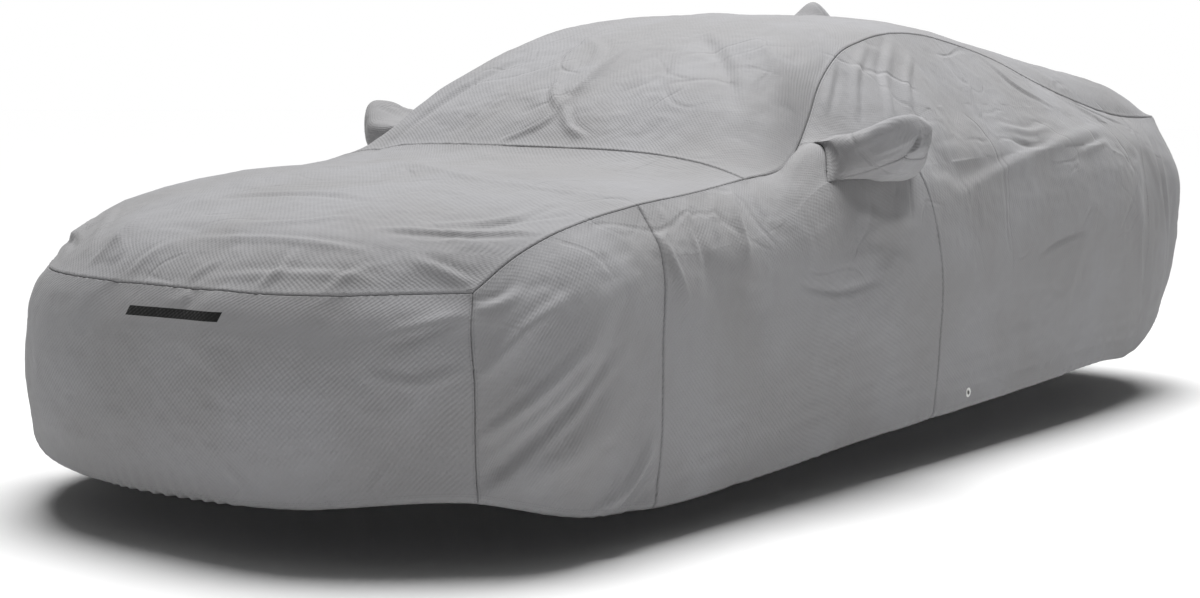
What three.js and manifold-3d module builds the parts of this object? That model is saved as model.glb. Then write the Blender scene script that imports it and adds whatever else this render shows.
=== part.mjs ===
// A fitted car cover: sewn panels of soft cloth in the shape in which they hang over a fastback car.
// Millimetres, +Z up, the nose towards -Y and the left side towards +X. The lines below are measured
// from the ground midway between the axles. The finished group is moved so that its origin is the
// point under the roof panel where the car's roof carries the cover.
import * as THREE from 'three';
import { mergeVertices } from 'three/addons/utils/BufferGeometryUtils.js';
import ManifoldModule from 'manifold-3d';

const CLOTH = 2;             // thickness of the cloth
const EDGE_SETBACK = 0.25;   // how far each sewn edge stands back from its seam line
const POCKET_SETBACK = 1;    // the same on the mirror pockets, whose seams fold sharply
const ROOF_POINT = { y: 400, z: 1398.5 };    // where the car's roof carries the cover, under the roof panel
const RIGHT_FULLNESS = 4;    // how much squarer the roof panel's right half hangs than its left
const POINT_SPACING = 0.05;  // corners of the sheets closer than this are one

// Places around the skirt are counted in ribs: 0 is the middle of the nose, 15 the middle of the tail.
const CORNER = 2;            // front corner seam
const FENDER = 4;            // seam between fender and door panels
const COWL = 5;              // end of the cowl seam
const POCKET_FRONT = 6;      // front of the mirror pocket
const DOOR = 8;              // seam between door and quarter panels, behind the mirror pocket
const REAR = 12;             // rear corner seam
const TAIL_CORNER = 13;      // where the top panel's side edge turns into its rear edge
const TAIL = 15;

// The upper edge of the skirt, as [rib, x, y, z]. It turns sharply at the two corners of the top.
const FRONT_SEAM = [
  [-1, -440, -2240, 657], [0, 0, -2290, 655], [1, 440, -2240, 657], [2, 755, -1970, 665],
];
const MAIN_SEAM = [
  [2, 755, -1970, 665], [2.5, 780, -1850, 742], [3, 793, -1760, 780], [3.5, 800, -1580, 823],
  [4, 805, -1385, 851], [4.5, 800, -1130, 874], [5, 790, -868, 902], [5.5, 768, -640, 925],
  [6, 725, -478, 990], [6.5, 690, -365, 1065], [7, 655, -260, 1150], [7.5, 625, -160, 1207],
  [8, 598, -45, 1259], [8.5, 568, 120, 1299], [9, 558, 300, 1330], [9.5, 560, 520, 1338],
  [10, 570, 760, 1313], [10.5, 590, 1050, 1262], [11, 630, 1324, 1182], [11.5, 670, 1560, 1120],
  [12, 722, 1870, 1064], [12.5, 742, 2010, 1058], [13, 740, 2160, 1062],
];
const REAR_SEAM = [[13, 740, 2160, 1062], [14, 520, 2390, 1088], [15, 0, 2470, 1115], [16, -520, 2390, 1088]];

// Level lines of the skirt below the seam, each as [rib, x, y, z].
const GLASS = [
  [0, 0, -2302, 632], [1, 446, -2253, 634], [2, 762, -1979, 640], [3, 848, -1786, 722],
  [4, 856, -1400, 795], [5, 852, -875, 855], [6, 758, -462, 994], [7, 800, -280, 1005],
  [8, 812, -100, 1030], [9, 770, 300, 1100], [10, 765, 760, 1105], [11, 790, 1320, 1070],
  [12, 805, 1830, 1000], [13, 800, 2120, 975], [14, 560, 2392, 1000], [15, 0, 2495, 1040],
];
const SHOULDER = [
  [0, 0, -2318, 590], [1, 451, -2270, 592], [2, 776, -2000, 600], [3, 904, -1800, 640],
  [4, 920, -1425, 715], [5, 922, -890, 778], [6, 888, -575, 886], [7, 900, -330, 895],
  [8, 902, -82, 922], [9, 892, 300, 940], [10, 888, 760, 950], [11, 895, 1320, 960],
  [12, 880, 1740, 880], [13, 860, 2130, 860], [14, 600, 2425, 900], [15, 0, 2505, 930],
];
const WAIST = [
  [0, 0, -2338, 450], [1, 455, -2290, 450], [2, 797, -2010, 445], [3, 930, -1800, 460],
  [4, 955, -1462, 500], [5, 962, -900, 560], [6, 964, -540, 600], [8, 958, -8, 640],
  [9, 950, 300, 680], [10, 950, 760, 700], [11, 952, 1320, 700], [12, 925, 1700, 690],
  [13, 865, 2150, 680], [14, 640, 2440, 690], [15, 0, 2520, 690],
];
const SILL = [
  [0, 0, -2330, 275], [1, 455, -2280, 280], [2, 795, -2003, 290], [3, 925, -1800, 270],
  [4, 955, -1462, 270], [5, 955, -900, 300], [6, 955, -540, 320], [8, 955, 2, 350],
  [9, 955, 300, 365], [10, 955, 760, 385], [11, 950, 1320, 400], [12, 920, 1700, 400],
  [13, 850, 2110, 430], [14, 630, 2400, 440], [15, 0, 2490, 450],
];
const HEM = [
  [0, 0, -2290, 130], [1, 450, -2235, 142], [2, 798, -1995, 168], [3, 893, -1775, 112],
  [4, 930, -1450, 85], [5, 932, -900, 101], [6, 935, -520, 122], [8, 940, 5, 142],
  [9, 938, 300, 150], [10, 938, 760, 165], [11, 935, 1320, 186], [12, 890, 1700, 175],
  [13, 815, 2080, 285], [14, 600, 2340, 310], [15, 0, 2430, 320],
];

// The middle of the top panels, as [rib, y, z, squareness of the section across the car].
const CROWN = [
  [2, -2290, 655, 3], [2.5, -2170, 765, 2.5], [3, -1980, 835, 2.6], [3.5, -1700, 885, 3],
  [4, -1430, 915, 3],
  [5, -850, 968, 4], [5.5, -710, 1072, 5], [6, -560, 1162, 6], [6.5, -430, 1224, 6], [7, -300, 1278, 6],
  [7.5, -160, 1324, 5], [8, -20, 1358, 5], [8.5, 140, 1383, 4], [9, 310, 1398, 4], [9.5, 530, 1402, 4],
  [10, 770, 1389, 4], [10.5, 1060, 1356, 4], [11, 1340, 1318, 5], [11.5, 1600, 1278, 6],
  [12, 1900, 1235, 7], [12.5, 2180, 1190, 8], [13, 2470, 1115, 8],
];

/** The point at fraction u of a smooth curve's piece from points[k] to points[k + 1]. */
function smoothPiece(points, k, u) {
  const gap = (i) => Math.max(points[i + 1].distanceTo(points[i]), 1e-6);
  const secant = (i) => points[i + 1].clone().sub(points[i]).divideScalar(gap(i));
  const slope = (i) => {
    if (i === 0) return secant(0);
    if (i === points.length - 1) return secant(i - 1);
    const before = gap(i - 1);
    const after = gap(i);
    const weighted = secant(i - 1).multiplyScalar(after).addScaledVector(secant(i), before);
    return weighted.divideScalar(before + after);
  };
  const length = gap(k);
  const u2 = u * u;
  const u3 = u2 * u;
  return points[k].clone().multiplyScalar(2 * u3 - 3 * u2 + 1)
    .addScaledVector(slope(k), length * (u3 - 2 * u2 + u))
    .addScaledVector(points[k + 1], 3 * u2 - 2 * u3)
    .addScaledVector(slope(k + 1), length * (u3 - u2));
}

/** A function of the rib number through knots of the form [rib, x, y, z]. */
function lineThrough(knots) {
  const points = knots.map((knot) => new THREE.Vector3(knot[1], knot[2], knot[3]));
  return (rib) => {
    let k = 0;
    while (k < knots.length - 2 && rib > knots[k + 1][0]) k += 1;
    return smoothPiece(points, k, (rib - knots[k][0]) / (knots[k + 1][0] - knots[k][0]));
  };
}

/** The same knots with their mirror images past the middle of the nose and of the tail. */
function mirroredEnds(knots) {
  const first = knots[1];
  const last = knots[knots.length - 2];
  return [
    [-first[0], -first[1], first[2], first[3]],
    ...knots,
    [2 * TAIL - last[0], -last[1], last[2], last[3]],
  ];
}

const frontSeam = lineThrough(FRONT_SEAM);
const mainSeam = lineThrough(MAIN_SEAM);
const rearSeam = lineThrough(REAR_SEAM);
const levels = [GLASS, SHOULDER, WAIST, SILL, HEM].map((knots) => lineThrough(mirroredEnds(knots)));
const HEM_LEVEL = levels.length;
const crown = lineThrough(CROWN);

function seam(rib) {
  if (rib <= CORNER) return frontSeam(rib);
  return rib <= TAIL_CORNER ? mainSeam(rib) : rearSeam(rib);
}

/** A point of the skirt: rib 0 to 15 (negative on the right side), level 0 (seam) to 5 (hem). */
function skirtPoint(rib, level) {
  const station = Math.abs(rib);
  const points = [seam(station), ...levels.map((line) => line(station))];
  const k = Math.min(Math.floor(level), HEM_LEVEL - 1);
  const point = smoothPiece(points, k, level - k);
  if (rib < 0) point.x *= -1;
  return point;
}

/** A point of the top panels: rib 2 to 13, across -1 (right seam) to 1 (left seam). */
function topPoint(rib, across) {
  const section = (at) => {
    const edge = seam(at);
    const middle = crown(at);
    const fuller = across < 0 ? RIGHT_FULLNESS * THREE.MathUtils.clamp(at - COWL, 0, 1) : 0;
    const fall = Math.abs(across) ** (middle.z + fuller);
    return new THREE.Vector3(
      edge.x * across,
      middle.x + (edge.y - middle.x) * fall,
      middle.y + (edge.z - middle.y) * fall,
    );
  };
  const point = section(rib);
  const side = Math.sign(across);
  const towards = (target, corner) => {
    const fade = Math.max(0, 1 - Math.abs(rib - corner));
    const wanted = target.clone();
    wanted.x *= side;
    point.addScaledVector(wanted.sub(section(corner)), fade * fade * (3 - 2 * fade));
  };
  towards(frontSeam(CORNER * Math.abs(across)), CORNER);
  towards(rearSeam(TAIL - (TAIL - TAIL_CORNER) * Math.abs(across)), TAIL_CORNER);
  return point;
}

// Main folds of the cloth. Each runs through two or three places [rib, level] of the skirt or
// [rib, across] of the top, stands out by height (or in, when negative) and fades over its width.
const SKIRT_FOLDS = [
  { through: [[2.05, 3.8], [2.6, 3.15], [3.2, 2.5]], height: 9, width: 45 },
  { through: [[2.05, 4.4], [2.7, 3.75], [3.35, 3.1]], height: -8, width: 38 },
  { through: [[2.05, 4.9], [2.85, 4.1], [3.5, 3.5]], height: 9, width: 42 },
  { through: [[2.05, 2.9], [2.45, 2.3], [3.0, 1.9]], height: 7, width: 40 },
  { through: [[3.35, 4.95], [3.65, 4.45], [3.9, 3.95]], height: 12, width: 42 },
  { through: [[3.7, 5], [3.9, 4.6]], height: -10, width: 34 },
  { through: [[4.03, 1.2], [4.08, 2.0], [4.2, 2.7]], height: 8, width: 34 },
  { through: [[4.4, 0.5], [4.3, 1.9], [4.4, 2.7]], height: -7, width: 34 },
  { through: [[4.8, 0.4], [4.65, 1.9], [4.65, 2.6]], height: 8, width: 36 },
  { through: [[5.2, 2.8], [5.8, 3.05], [6.6, 3.0]], height: -6, width: 45 },
  { through: [[6.2, 2.3], [7.0, 2.5], [7.8, 2.4]], height: 8, width: 45 },
  { through: [[8.6, 0.1], [8.4, 0.9], [8.2, 1.6]], height: -12, width: 50 },
  { through: [[9.1, 0.1], [8.8, 1.0], [8.5, 1.8]], height: 10, width: 46 },
  { through: [[9.5, 0.2], [9.2, 1.0], [9.0, 1.6]], height: -8, width: 42 },
  { through: [[8.25, 1.95], [8.9, 2.2], [9.6, 2.15]], height: -10, width: 55 },
  { through: [[8.6, 2.4], [10.1, 2.0], [11.2, 1.4]], height: 9, width: 50 },
  { through: [[9.8, 3.3], [10.2, 3.2], [10.6, 3.1]], height: -6, width: 40 },
  { through: [[11.8, 1.5], [11.7, 3.0], [12.0, 4.6]], height: 8, width: 45 },
  { through: [[12.5, 1.6], [12.6, 3.2], [12.7, 4.7]], height: -8, width: 45 },
];
const TOP_FOLDS = [
  { through: [[5.6, 0], [6.2, 0.02], [7.1, 0]], height: 9, width: 45 },
  { through: [[7.4, 0.25], [6.5, 0.62], [5.8, 0.78]], height: -12, width: 65 },
  { through: [[7.4, 0.6], [6.8, 0.84], [6.3, 0.93]], height: 9, width: 50 },
  { through: [[4.9, -0.77], [5.7, -0.68], [6.7, -0.58]], height: -9, width: 60 },
  { through: [[4.6, -0.48], [4.0, 0.15], [3.85, 0.5]], height: 8, width: 60 },
  { through: [[3.7, 0.84], [3.25, 0.82], [2.9, 0.7]], height: -7, width: 55 },
  { through: [[2.15, -0.25], [2.4, -0.28], [2.8, -0.34]], height: 9, width: 40 },
];

// The mirror pocket's sections from the skirt to its tip: the middle, and half its size along the
// car and upwards. Their outline is a square with corners rounded by POCKET_SQUARENESS.
const POCKET_SECTIONS = [
  { middle: [930, -333, 962], along: 190, up: 64 },
  { middle: [985, -338, 987], along: 138, up: 66 },
  { middle: [1034, -342, 1011], along: 78, up: 60 },
  { middle: [1050, -343, 1013], along: 46, up: 34 },
];
const POCKET_TIP = [1055, -343, 1013];
const POCKET_SQUARENESS = 4;

// The roof aerial's pocket stands over a patch of the roof panel.
const AERIAL = { from: 9.75, to: 10.25, across: 1 / 7, height: 74, lean: 1.3, steps: 6 };

// The eyelet beside the door seam, near the hem, and the hemmed patch of cloth that holds it.
const EYELET = {
  from: 8.5, to: 9, level: 4.5,
  flange: 16, barrel: 9.5, hole: 7, flangeThickness: 1.5, clearance: 0.6, turns: 16,
};
const EYELET_HOLE_IN_CLOTH = 10.5;
const PUNCH_LENGTH = 20;     // of the tool that cuts the hole

// Rows and columns of the sheets.
const COLUMNS = [
  2, 2.33, 2.67, 3, 3.33, 3.67, 4, 4.33, 4.67, 5, 5.33, 5.67, 6, 6.33, 6.67, 7, 7.33, 7.67, 8,
  8.25, 8.5, 9, 9.25, 9.5, 9.75, 10, 10.25, 10.5, 10.75, 11, 11.33, 11.67, 12, 12.33, 12.67, 13,
];
const END_COLUMNS = 7;       // from the middle of the nose or tail to the corner of the top
const ROWS = [0, 0.5, 1, 1.33, 1.67, 2, 2.33, 2.67, 3, 3.33, 3.67, 4, 4.5, 5];
const GLASS_ROW = ROWS.indexOf(1);
const SHOULDER_ROW = ROWS.indexOf(2);
const EYELET_ROW = ROWS.indexOf(EYELET.level);

const CLOTH_GREY = 0xa9a9ad;
const SHADE_GREY = 0x8f8d8e;
const EYELET_WHITE = 0xe6e6e4;

/** The seam lines shared by neighbouring sheets meet in one pool of points, each with its normal. */
class Cloth {
  constructor() {
    this.points = [];
    this.places = new Map();
    this.sheets = new Map();
  }

  point(position) {
    const key = position.toArray().map((value) => Math.round(value / POINT_SPACING)).join();
    if (!this.places.has(key)) {
      this.places.set(key, this.points.length);
      this.points.push(position.clone());
    }
    return this.places.get(key);
  }

  /** Adds one facet to a sheet, its corners in turn as seen from outside. */
  addFacet(sheet, corners) {
    const around = corners.map((corner) => this.point(corner));
    const loop = around.filter((id, k) => id !== around[(k + 1) % around.length]);
    if (!this.sheets.has(sheet)) this.sheets.set(sheet, []);
    this.sheets.get(sheet).push(loop);
  }

  triangles(sheet) {
    return this.sheets.get(sheet).flatMap((loop) => (
      loop.length === 4 ? [[loop[0], loop[1], loop[2]], [loop[0], loop[2], loop[3]]] : [loop]
    ));
  }

  normals() {
    const normals = this.points.map(() => new THREE.Vector3());
    for (const sheet of this.sheets.keys()) {
      for (const [a, b, c] of this.triangles(sheet)) {
        const ab = this.points[b].clone().sub(this.points[a]);
        const ac = this.points[c].clone().sub(this.points[a]);
        const areaNormal = ab.cross(ac);
        for (const id of [a, b, c]) normals[id].add(areaNormal);
      }
    }
    return normals.map((normal) => normal.normalize());
  }

  /** Moves every point along its normal by what the folds say there. */
  fold(folds) {
    const normals = this.normals();
    this.points.forEach((point, id) => {
      const rise = folds.reduce((sum, fold) => sum + fold(point), 0);
      point.addScaledVector(normals[id], rise);
    });
  }

  /** The closed solid of one sheet: its outer face, the inner face and a wall around each edge. */
  solid(sheet, normals) {
    const triangles = this.triangles(sheet);
    const setback = sheet.includes('mirror') ? POCKET_SETBACK : EDGE_SETBACK;
    const edges = new Map();
    for (const [a, b, c] of triangles) {
      for (const [from, to] of [[a, b], [b, c], [c, a]]) edges.set(`${from},${to}`, [from, to]);
    }
    const rim = [...edges.values()].filter(([from, to]) => !edges.has(`${to},${from}`));
    const outer = new Map(triangles.flat().map((id) => [id, this.points[id].clone()]));
    const inward = new Map(rim.flat().map((id) => [id, []]));
    for (const [from, to] of rim) {
      const along = this.points[to].clone().sub(this.points[from]);
      for (const id of [from, to]) inward.get(id).push(normals[id].clone().cross(along).normalize());
    }
    for (const [id, [first, second]] of inward) {
      const mitre = Math.max(1 + first.dot(second), 0.5);
      outer.get(id).addScaledVector(first.add(second), setback / mitre);
    }
    const inner = new Map([...outer].map(([id, point]) => (
      [id, point.clone().addScaledVector(normals[id], -CLOTH)]
    )));
    const corners = [];
    for (const [a, b, c] of triangles) {
      corners.push(outer.get(a), outer.get(b), outer.get(c));
      corners.push(inner.get(a), inner.get(c), inner.get(b));
    }
    for (const [a, b] of rim) {
      corners.push(outer.get(a), inner.get(a), inner.get(b));
      corners.push(outer.get(a), inner.get(b), outer.get(b));
    }
    return new THREE.BufferGeometry().setFromPoints(corners);
  }
}

/** How far a fold lifts the cloth at a point: most along its middle, nothing at its two ends. */
function foldRise({ path, height, width }) {
  const legs = path.slice(1).map((end, k) => new THREE.Line3(path[k], end));
  const total = legs.reduce((sum, leg) => sum + leg.distance(), 0);
  return (point) => {
    let nearest = Infinity;
    let travelled = 0;
    let place = 0;
    for (const leg of legs) {
      const part = leg.closestPointToPointParameter(point, true);
      const distance = leg.at(part, new THREE.Vector3()).distanceTo(point);
      if (distance < nearest) {
        nearest = distance;
        place = (travelled + part * leg.distance()) / total;
      }
      travelled += leg.distance();
    }
    return height * Math.exp(-((nearest / width) ** 2)) * Math.sqrt(Math.sin(Math.PI * place));
  };
}

const endSteps = Array.from({ length: END_COLUMNS }, (_, k) => k);
const columnsOfSide = [
  ...endSteps.map((k) => (CORNER * k) / END_COLUMNS),
  ...COLUMNS,
  ...endSteps.map((k) => TAIL_CORNER + ((TAIL - TAIL_CORNER) * (k + 1)) / END_COLUMNS),
];

/** Which panel a facet of the skirt belongs to, or null over the mirror pocket's mouth. */
function skirtSheet(side, rib, row) {
  const inPocket = rib > POCKET_FRONT && rib < DOOR;
  if (inPocket && row >= GLASS_ROW && row < SHOULDER_ROW) return null;
  if (rib < CORNER) return 'front_panel';
  if (rib < FENDER) return `${side}_fender_panel`;
  if (rib < DOOR && !(inPocket && row < GLASS_ROW)) return `${side}_door_panel`;
  if (rib > REAR) return 'rear_panel';
  if (row === EYELET_ROW && rib > EYELET.from && rib < EYELET.to) return `${side}_eyelet_patch`;
  return `${side}_quarter_panel`;
}

/** A facet's corners in the other turn, so that it faces the other way. */
function turnedOver([first, ...others]) {
  return [first, ...others.reverse()];
}

/** One side of the skirt, from the middle of the nose to the middle of the tail. */
function addSkirt(cloth, side, sign) {
  for (let column = 0; column < columnsOfSide.length - 1; column += 1) {
    const [near, far] = [columnsOfSide[column], columnsOfSide[column + 1]];
    for (let row = 0; row < ROWS.length - 1; row += 1) {
      const sheet = skirtSheet(side, (near + far) / 2, row);
      const corners = [[near, row], [near, row + 1], [far, row + 1], [far, row]].map(([rib, level]) => {
        const point = skirtPoint(rib, ROWS[level]);
        point.x *= sign;
        return point;
      });
      if (sheet) cloth.addFacet(sheet, sign > 0 ? corners : turnedOver(corners));
    }
  }
}

/** Which panel a facet of the top belongs to, or null under the aerial's pocket. */
function topSheet(rib, across) {
  if (rib > AERIAL.from && rib < AERIAL.to && Math.abs(across) < AERIAL.across) return null;
  return rib < COWL ? 'hood_panel' : 'roof_panel';
}

/** The hood and roof panels. */
function addTop(cloth) {
  for (let row = 0; row < COLUMNS.length - 1; row += 1) {
    const [front, back] = [COLUMNS[row], COLUMNS[row + 1]];
    for (let step = -END_COLUMNS; step < END_COLUMNS; step += 1) {
      const [right, left] = [step / END_COLUMNS, (step + 1) / END_COLUMNS];
      const sheet = topSheet((front + back) / 2, (left + right) / 2);
      const corners = [[front, right], [front, left], [back, left], [back, right]];
      if (sheet) cloth.addFacet(sheet, corners.map(([rib, across]) => topPoint(rib, across)));
    }
  }
}

/** The aerial's pocket: the patch of roof that it covers, raised like a fin. */
function addAerialPocket(cloth) {
  const { from, to, across, height, lean, steps } = AERIAL;
  const patchRows = COLUMNS.filter((rib) => rib >= from && rib <= to);
  const patchPoint = (back, left) => {
    const row = Math.min(Math.floor(back * (patchRows.length - 1)), patchRows.length - 2);
    const part = back * (patchRows.length - 1) - row;
    const half = Math.abs(2 * left - 1);
    const edge = across * Math.sign(2 * left - 1);
    const atRib = (rib) => topPoint(rib, 0).lerp(topPoint(rib, edge), half);
    const point = atRib(patchRows[row]).lerp(atRib(patchRows[row + 1]), part);
    point.z += height * Math.sin(Math.PI * back ** lean) ** 2 * (1 - half * half) ** 2;
    return point;
  };
  for (let row = 0; row < steps; row += 1) {
    for (let step = 0; step < steps; step += 1) {
      const corners = [[row, step], [row, step + 1], [row + 1, step + 1], [row + 1, step]];
      cloth.addFacet('aerial_pocket', corners.map(([back, left]) => patchPoint(back / steps, left / steps)));
    }
  }
}

/** The mirror pocket: a bag from its mouth in the skirt to its tip, the underside a piece of its own. */
function addMirrorPocket(cloth, side, sign) {
  const ribs = COLUMNS.filter((rib) => rib >= POCKET_FRONT && rib <= DOOR);
  const rows = ROWS.slice(GLASS_ROW, SHOULDER_ROW + 1);
  const place = (column, row) => ({
    mouth: skirtPoint(ribs[column], rows[row]),
    along: (2 * column) / (ribs.length - 1) - 1,
    up: 1 - (2 * row) / (rows.length - 1),
    under: row === rows.length - 1 || column === ribs.length - 1,
  });
  const around = [
    ...ribs.slice(1).map((_, k) => place(ribs.length - 1 - k, 0)),
    ...rows.slice(1).map((_, k) => place(0, k)),
    ...ribs.slice(1).map((_, k) => place(k, rows.length - 1)),
    ...rows.slice(1).map((_, k) => place(ribs.length - 1, rows.length - 1 - k)),
  ];
  const lengthwise = around.map(({ mouth, along, up }) => {
    const power = Math.abs(along) ** POCKET_SQUARENESS + Math.abs(up) ** POCKET_SQUARENESS;
    const shrink = power ** (-1 / POCKET_SQUARENESS);
    const sections = POCKET_SECTIONS.map((section) => new THREE.Vector3(...section.middle).add(
      new THREE.Vector3(0, section.along * along * shrink, section.up * up * shrink),
    ));
    return [mouth, ...sections, new THREE.Vector3(...POCKET_TIP)].map((point) => (
      new THREE.Vector3(point.x * sign, point.y, point.z)
    ));
  });
  around.forEach((here, k) => {
    const next = (k + 1) % around.length;
    const beneath = here.under && around[next].under;
    for (let ring = 0; ring <= POCKET_SECTIONS.length; ring += 1) {
      const piece = beneath && ring < POCKET_SECTIONS.length - 1 ? 'gusset' : 'pocket';
      const corners = [
        lengthwise[next][ring], lengthwise[next][ring + 1], lengthwise[k][ring + 1], lengthwise[k][ring],
      ];
      cloth.addFacet(`${side}_mirror_${piece}`, sign > 0 ? corners : turnedOver(corners));
    }
  });
}

const manifold = await ManifoldModule();
manifold.setup();

/** The solid of a closed geometry, its coinciding corners merged. */
function solidOf(geometry) {
  const plain = geometry.index ? geometry.toNonIndexed() : geometry.clone();
  plain.deleteAttribute('normal');
  plain.deleteAttribute('uv');
  const merged = mergeVertices(plain, 1e-3);
  return new manifold.Manifold(new manifold.Mesh({
    numProp: 3,
    vertProperties: new Float32Array(merged.attributes.position.array),
    triVerts: new Uint32Array(merged.index.array),
  }));
}

/** The first geometry with the second taken away from it. */
function cut(geometry, tool) {
  const mesh = solidOf(geometry).subtract(solidOf(tool)).getMesh();
  const result = new THREE.BufferGeometry();
  result.setAttribute('position', new THREE.BufferAttribute(mesh.vertProperties, 3));
  result.setIndex(new THREE.BufferAttribute(mesh.triVerts, 1));
  return result;
}

/** The place and outward direction of the middle of an eyelet's patch. */
function eyeletPlace(cloth, sheet) {
  const facets = cloth.sheets.get(sheet);
  const corners = facets.flat().map((id) => cloth.points[id]);
  const box = new THREE.Box3().setFromPoints(corners);
  const middle = box.getCenter(new THREE.Vector3());
  middle.x = corners.reduce((sum, corner) => sum + corner.x, 0) / corners.length;
  const [a, b, c] = facets[0].map((id) => cloth.points[id]);
  const outward = b.clone().sub(a).cross(c.clone().sub(a)).normalize();
  return { middle: middle.addScaledVector(outward, -CLOTH / 2), outward };
}

/** A two-flanged eyelet around the Y axis, its barrel through the cloth. */
function eyeletGeometry() {
  const { flange, barrel, hole, flangeThickness, clearance, turns } = EYELET;
  const inner = CLOTH / 2 + clearance;
  const outer = inner + flangeThickness;
  const profile = [
    [hole, -outer], [flange, -outer], [flange, -inner], [barrel, -inner],
    [barrel, inner], [flange, inner], [flange, outer], [hole, outer], [hole, -outer],
  ];
  return new THREE.LatheGeometry(profile.map(([r, y]) => new THREE.Vector2(r, y)), turns);
}

/** All the folds of the cover, each as a function of a point. The skirt's are on both sides. */
function foldsOfCover() {
  const onSkirt = SKIRT_FOLDS.flatMap((fold) => [1, -1].map((sign) => (
    { ...fold, path: fold.through.map(([rib, level]) => skirtPoint(sign * rib, level)) }
  )));
  const onTop = TOP_FOLDS.map((fold) => (
    { ...fold, path: fold.through.map(([rib, across]) => topPoint(rib, across)) }
  ));
  return [...onSkirt, ...onTop].map(foldRise);
}

/** The tool that cuts an eyelet's hole, along the given direction. */
function punchAt(middle, turn) {
  const radius = EYELET_HOLE_IN_CLOTH;
  const punch = new THREE.CylinderGeometry(radius, radius, PUNCH_LENGTH, EYELET.turns);
  return punch.applyQuaternion(turn).translate(middle.x, middle.y, middle.z);
}

/** The whole cover, its origin at the roof point. */
function buildCover() {
  const cloth = new Cloth();
  addTop(cloth);
  addAerialPocket(cloth);
  for (const [side, sign] of [['left', 1], ['right', -1]]) {
    addSkirt(cloth, side, sign);
    addMirrorPocket(cloth, side, sign);
  }
  cloth.fold(foldsOfCover());
  const normals = cloth.normals();

  const cover = new THREE.Group();
  cover.position.set(0, -ROOF_POINT.y, -ROOF_POINT.z);
  const addMesh = (name, geometry, color, roughness) => {
    const mesh = new THREE.Mesh(geometry, new THREE.MeshStandardMaterial({ color, roughness, metalness: 0 }));
    mesh.name = name;
    cover.add(mesh);
    return mesh;
  };
  for (const sheet of cloth.sheets.keys()) {
    const onTop = sheet === 'hood_panel' || sheet === 'roof_panel';
    let geometry = cloth.solid(sheet, normals);
    if (sheet.endsWith('eyelet_patch')) {
      const { middle, outward } = eyeletPlace(cloth, sheet);
      const turn = new THREE.Quaternion().setFromUnitVectors(new THREE.Vector3(0, 1, 0), outward);
      geometry = cut(geometry, punchAt(middle, turn));
      const eyelet = addMesh(sheet.replace('patch', 'ring'), eyeletGeometry(), EYELET_WHITE, 0.35);
      eyelet.position.copy(middle);
      eyelet.quaternion.copy(turn);
    }
    addMesh(sheet, geometry, onTop ? CLOTH_GREY : SHADE_GREY, 0.9);
  }
  const object = new THREE.Group();
  object.add(cover);
  return object;
}

export default buildCover();
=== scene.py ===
import sys

import logging
import math
from collections.abc import Callable, Sequence
from dataclasses import dataclass, field
from enum import Enum

import bpy
import numpy as np
from mathutils import Matrix, Vector, kdtree

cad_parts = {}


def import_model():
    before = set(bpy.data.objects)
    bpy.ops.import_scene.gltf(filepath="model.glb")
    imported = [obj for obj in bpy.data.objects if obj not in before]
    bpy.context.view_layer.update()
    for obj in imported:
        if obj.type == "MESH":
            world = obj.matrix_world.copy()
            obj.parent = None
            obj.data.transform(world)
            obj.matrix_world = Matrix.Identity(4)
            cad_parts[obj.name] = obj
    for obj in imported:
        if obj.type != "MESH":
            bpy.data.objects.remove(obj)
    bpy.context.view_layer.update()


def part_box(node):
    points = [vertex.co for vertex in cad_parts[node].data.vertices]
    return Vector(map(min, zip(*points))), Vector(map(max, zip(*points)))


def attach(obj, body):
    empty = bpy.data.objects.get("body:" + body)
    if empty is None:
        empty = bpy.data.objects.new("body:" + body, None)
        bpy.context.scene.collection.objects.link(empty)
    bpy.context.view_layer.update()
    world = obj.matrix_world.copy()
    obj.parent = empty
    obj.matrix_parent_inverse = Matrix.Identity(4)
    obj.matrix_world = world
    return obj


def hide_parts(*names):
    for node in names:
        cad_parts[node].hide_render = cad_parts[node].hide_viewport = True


log = logging.getLogger("cover")

# The cover is a skirt of side panels under two top panels. A place on the skirt is a rib and a level:
# ribs run from 0 at the middle of the nose to 15 at the middle of the tail, counted below zero on the
# right side, and levels from 0 at the upper seam to 5 at the hem. A place on the top panels is a rib
# and how far across it is, from -1 at the right seam to 1 at the left one. Metres; the nose is at -Y.
CORNER, FENDER, COWL, POCKET_FRONT, DOOR, REAR, TAIL_CORNER, TAIL = 2, 4, 5, 6, 8, 12, 13, 15
GROUND = 1.3985          # how far the ground is below the origin, which is under the roof
HEM = 5                  # the level of the hem
ROOF_POINT_Y = 0.4       # how far the origin is behind the middle of the wheelbase
CLOTH = 0.0016           # thickness of the cloth
WELD = 0.0002            # points nearer to each other than this become one
CELL = 0.0105            # size of the sheets' cells
EDGE_CELLS = (0.0, 0.0013, 0.003, 0.0055, 0.0095)   # finer cells along each sewn edge
SEAM_FADE = 0.0018       # how much narrower the painted shade along a seam is where the seam doesn't sink
CREASE_WIDTH = 30.0      # folds narrower than this, in millimetres, are creases
CREASE_DEPTH = 1.9       # how many times its stated height a crease stands
FOLD_DEPTH = 1.25        # the same for a wider fold
FOLD_REACH = 3.2         # how far a fold is felt, in widths
FOLD_SHOULDER = 2.2      # how far from the ridge its trough reaches, in widths
TROUGH_AWAY = 1.5        # how far beside the ridge its trough is deepest, in widths
TROUGH_SPREAD = 0.8
FOLD_TAPER = 0.6         # how bluntly a fold ends
SIDES = (("left", 1), ("right", -1))


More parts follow.
